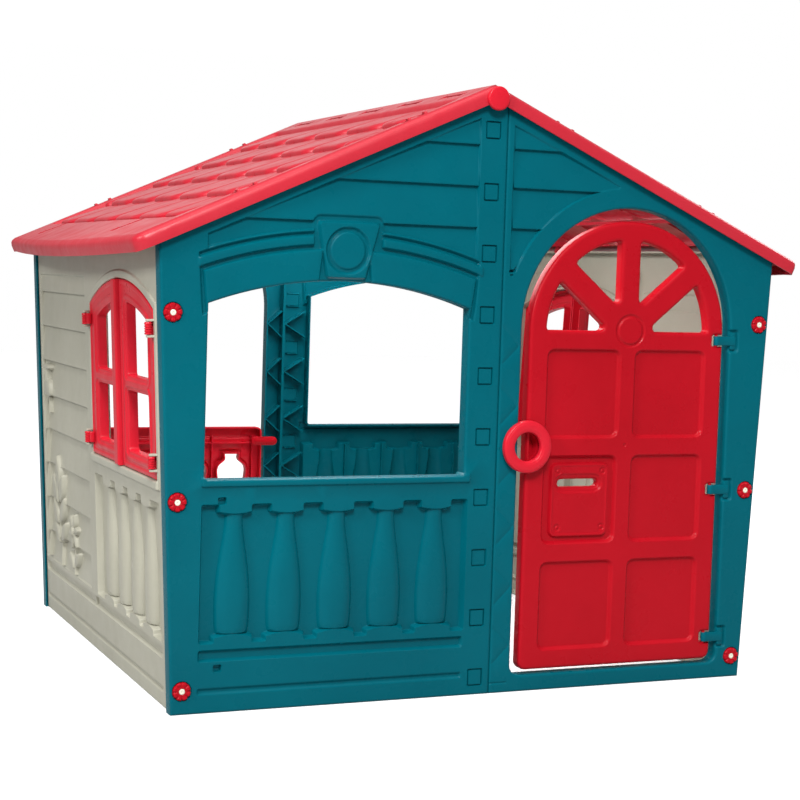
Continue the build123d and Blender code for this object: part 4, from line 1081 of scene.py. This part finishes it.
# ---- corner nuts and bolts
def star_nut():
    """Eight-lobed nut with a dished face and a bore for the bolt."""
    lobes, segments = 8, 96
    # Radius, height and how far each ring follows the lobes.
    rings = [(5.7, -3.0, 0), (5.7, 2.0, 0), (6.6, 2.8, 0), (8.0, 2.5, 0), (9.8, 2.6, 0.4), (12.4, 3.8, 1),
             (14.2, 3.6, 1), (15.5, 2.3, 1), (16.3, 0.2, 0.8), (16.5, -3.0, 0.3), (5.7, -3.0, 0)]
    rows = []
    for a in (2 * math.pi * k / segments for k in range(segments)):
        wave = max(0.0, -0.05 - 0.5 * math.cos(lobes * a)) / 0.45
        row = [(r - share * wave if r > 14 else r, z - 2.4 * share * wave if z > 0 else z)
               for r, z, share in rings]
        rows.append([(r * math.cos(a), r * math.sin(a), z) for r, z in row])
    return swept("nut", rows, 50)


nut = star_nut()
shank_profile = [(0, -31), (5.5, -31), (5.5, 0.6)] + arc(3.9, 0.8, 1.6, 0, 90, 5) \
    + [(2.0, 2.5), (1.8, 1.6), (0, 1.5)]
head = rounded_block("head", circle(0, 0, 10.4, 6), -35, -31, 0.8)
bolt = joined("bolt", [tube_mesh("shank", shank_profile, 28), head])
for end, m, left in (("front", front_plane, -1), ("rear", rear_plane, 1)):
    for side, sign in (("left", left), ("right", -left)):
        spots = [at(sign * (edge_at(v) - bolt_inset), v) @ Matrix.Rotation(random.uniform(0, 0.8), 4, "Z")
                 for v in bolt_heights]
        nuts = joined("nuts", [moved(nut, spot) for spot in spots])
        bolts = joined("bolts", [moved(bolt, spot) for spot in spots])
        place(nuts, f"corner_nuts_{end}_{side}", m, "house", red)
        place(bolts, f"corner_bolts_{end}_{side}", m, "house", cream, "turned")


# ---- camera, light and stage
def seen_by_camera(tree, lighting, looks, output):
    """Light the object with one shader and show another: keeps the surround pale and the light soft."""
    ray = tree.nodes.new("ShaderNodeLightPath")
    choice = tree.nodes.new("ShaderNodeMixShader")
    tree.links.new(ray.outputs["Is Camera Ray"], choice.inputs["Fac"])
    tree.links.new(lighting, choice.inputs[1])
    tree.links.new(looks, choice.inputs[2])
    tree.links.new(choice.outputs["Shader"], output.inputs["Surface"])


floor_mesh = bpy.data.meshes.new("floor")
floor_mesh.from_pydata([(-12, -12, 0), (12, -12, 0), (12, 12, 0), (-12, 12, 0)], [], [(0, 1, 2, 3)])
floor = bpy.data.objects.new("floor", floor_mesh)
link(floor)
pale = bpy.data.materials.new("floor_finish")
pale.use_nodes = True
floor_nodes = pale.node_tree.nodes
set_inputs(floor_nodes["Principled BSDF"], Base_Color=(0.8, 0.8, 0.8, 1), Roughness=0.9,
           Emission_Color=(1, 1, 1, 1), Emission_Strength=0.38)
dull = floor_nodes.new("ShaderNodeBsdfDiffuse")
set_inputs(dull, Color=(0.45, 0.45, 0.45, 1))
seen_by_camera(pale.node_tree, dull.outputs["BSDF"], floor_nodes["Principled BSDF"].outputs["BSDF"],
               floor_nodes["Material Output"])
floor_mesh.materials.append(pale)

world = bpy.data.worlds.new("studio")
bpy.context.scene.world = world
world.use_nodes = True
room = world.node_tree.nodes["Background"]
set_inputs(room, Color=(1, 1, 1, 1), Strength=0.30)
sweep = world.node_tree.nodes.new("ShaderNodeBackground")
set_inputs(sweep, Color=(1, 1, 1, 1), Strength=1.0)
seen_by_camera(world.node_tree, room.outputs["Background"], sweep.outputs["Background"],
               world.node_tree.nodes["World Output"])
bpy.context.scene.view_settings.view_transform = "Standard"


def area_light(name, place_at, aim, size, power, seen=True):
    light = bpy.data.lights.new(name, "AREA")
    light.shape = "RECTANGLE"
    light.size, light.size_y = size
    light.energy = power
    lamp = bpy.data.objects.new(name, light)
    lamp.location = place_at
    lamp.rotation_euler = (Vector(aim) - Vector(place_at)).to_track_quat("-Z", "Y").to_euler()
    lamp.visible_camera = seen
    link(lamp)


ceiling = bpy.data.lights.new("ceiling_light", "SUN")
ceiling.energy = 1.5
ceiling.angle = math.radians(60)
lamp = bpy.data.objects.new("ceiling_light", ceiling)
lamp.rotation_euler = (math.radians(8), math.radians(-6), 0)
link(lamp)
area_light("key_light", (-1.6, -4.4, 4.0), (0, 0, 0.5), (1.2, 1.2), 240)
area_light("side_light", (-4.2, -2.0, 2.8), (0, 0, 0.5), (1.1, 1.1), 118)
area_light("back_light", (1.2, 4.8, 2.6), (0, 0, 0.8), (3.0, 1.6), 9)
area_light("far_side_light", (4.6, 1.4, 3.0), (0, 0, 0.5), (1.6, 1.6), 75)
area_light("inside_light", (0, 0, 0.98), (0, 0, 0), (0.5, 0.9), 10, seen=False)
area_light("inside_bounce", (0, 0, 0.12), (0, 0, 1), (0.7, 0.7), 1, seen=False)

# The camera was solved from the straight edges of the house in the photograph.
camera_data = bpy.data.cameras.new("camera")
camera_data.sensor_width = 36
camera_data.lens = 79.56
camera = bpy.data.objects.new("camera", camera_data)
link(camera)
right_axis = Vector((0.91913, -0.39265, 0.03191))
forward = Vector((0.39394, 0.91639, -0.07094))
up_axis = Vector((-0.00139, 0.07778, 0.99697))
m = Matrix((right_axis, up_axis, -forward)).transposed().to_4x4()
m.translation = Vector((-1.4212, -3.4422, 0.7748))
camera.matrix_world = m
bpy.context.scene.camera = camera
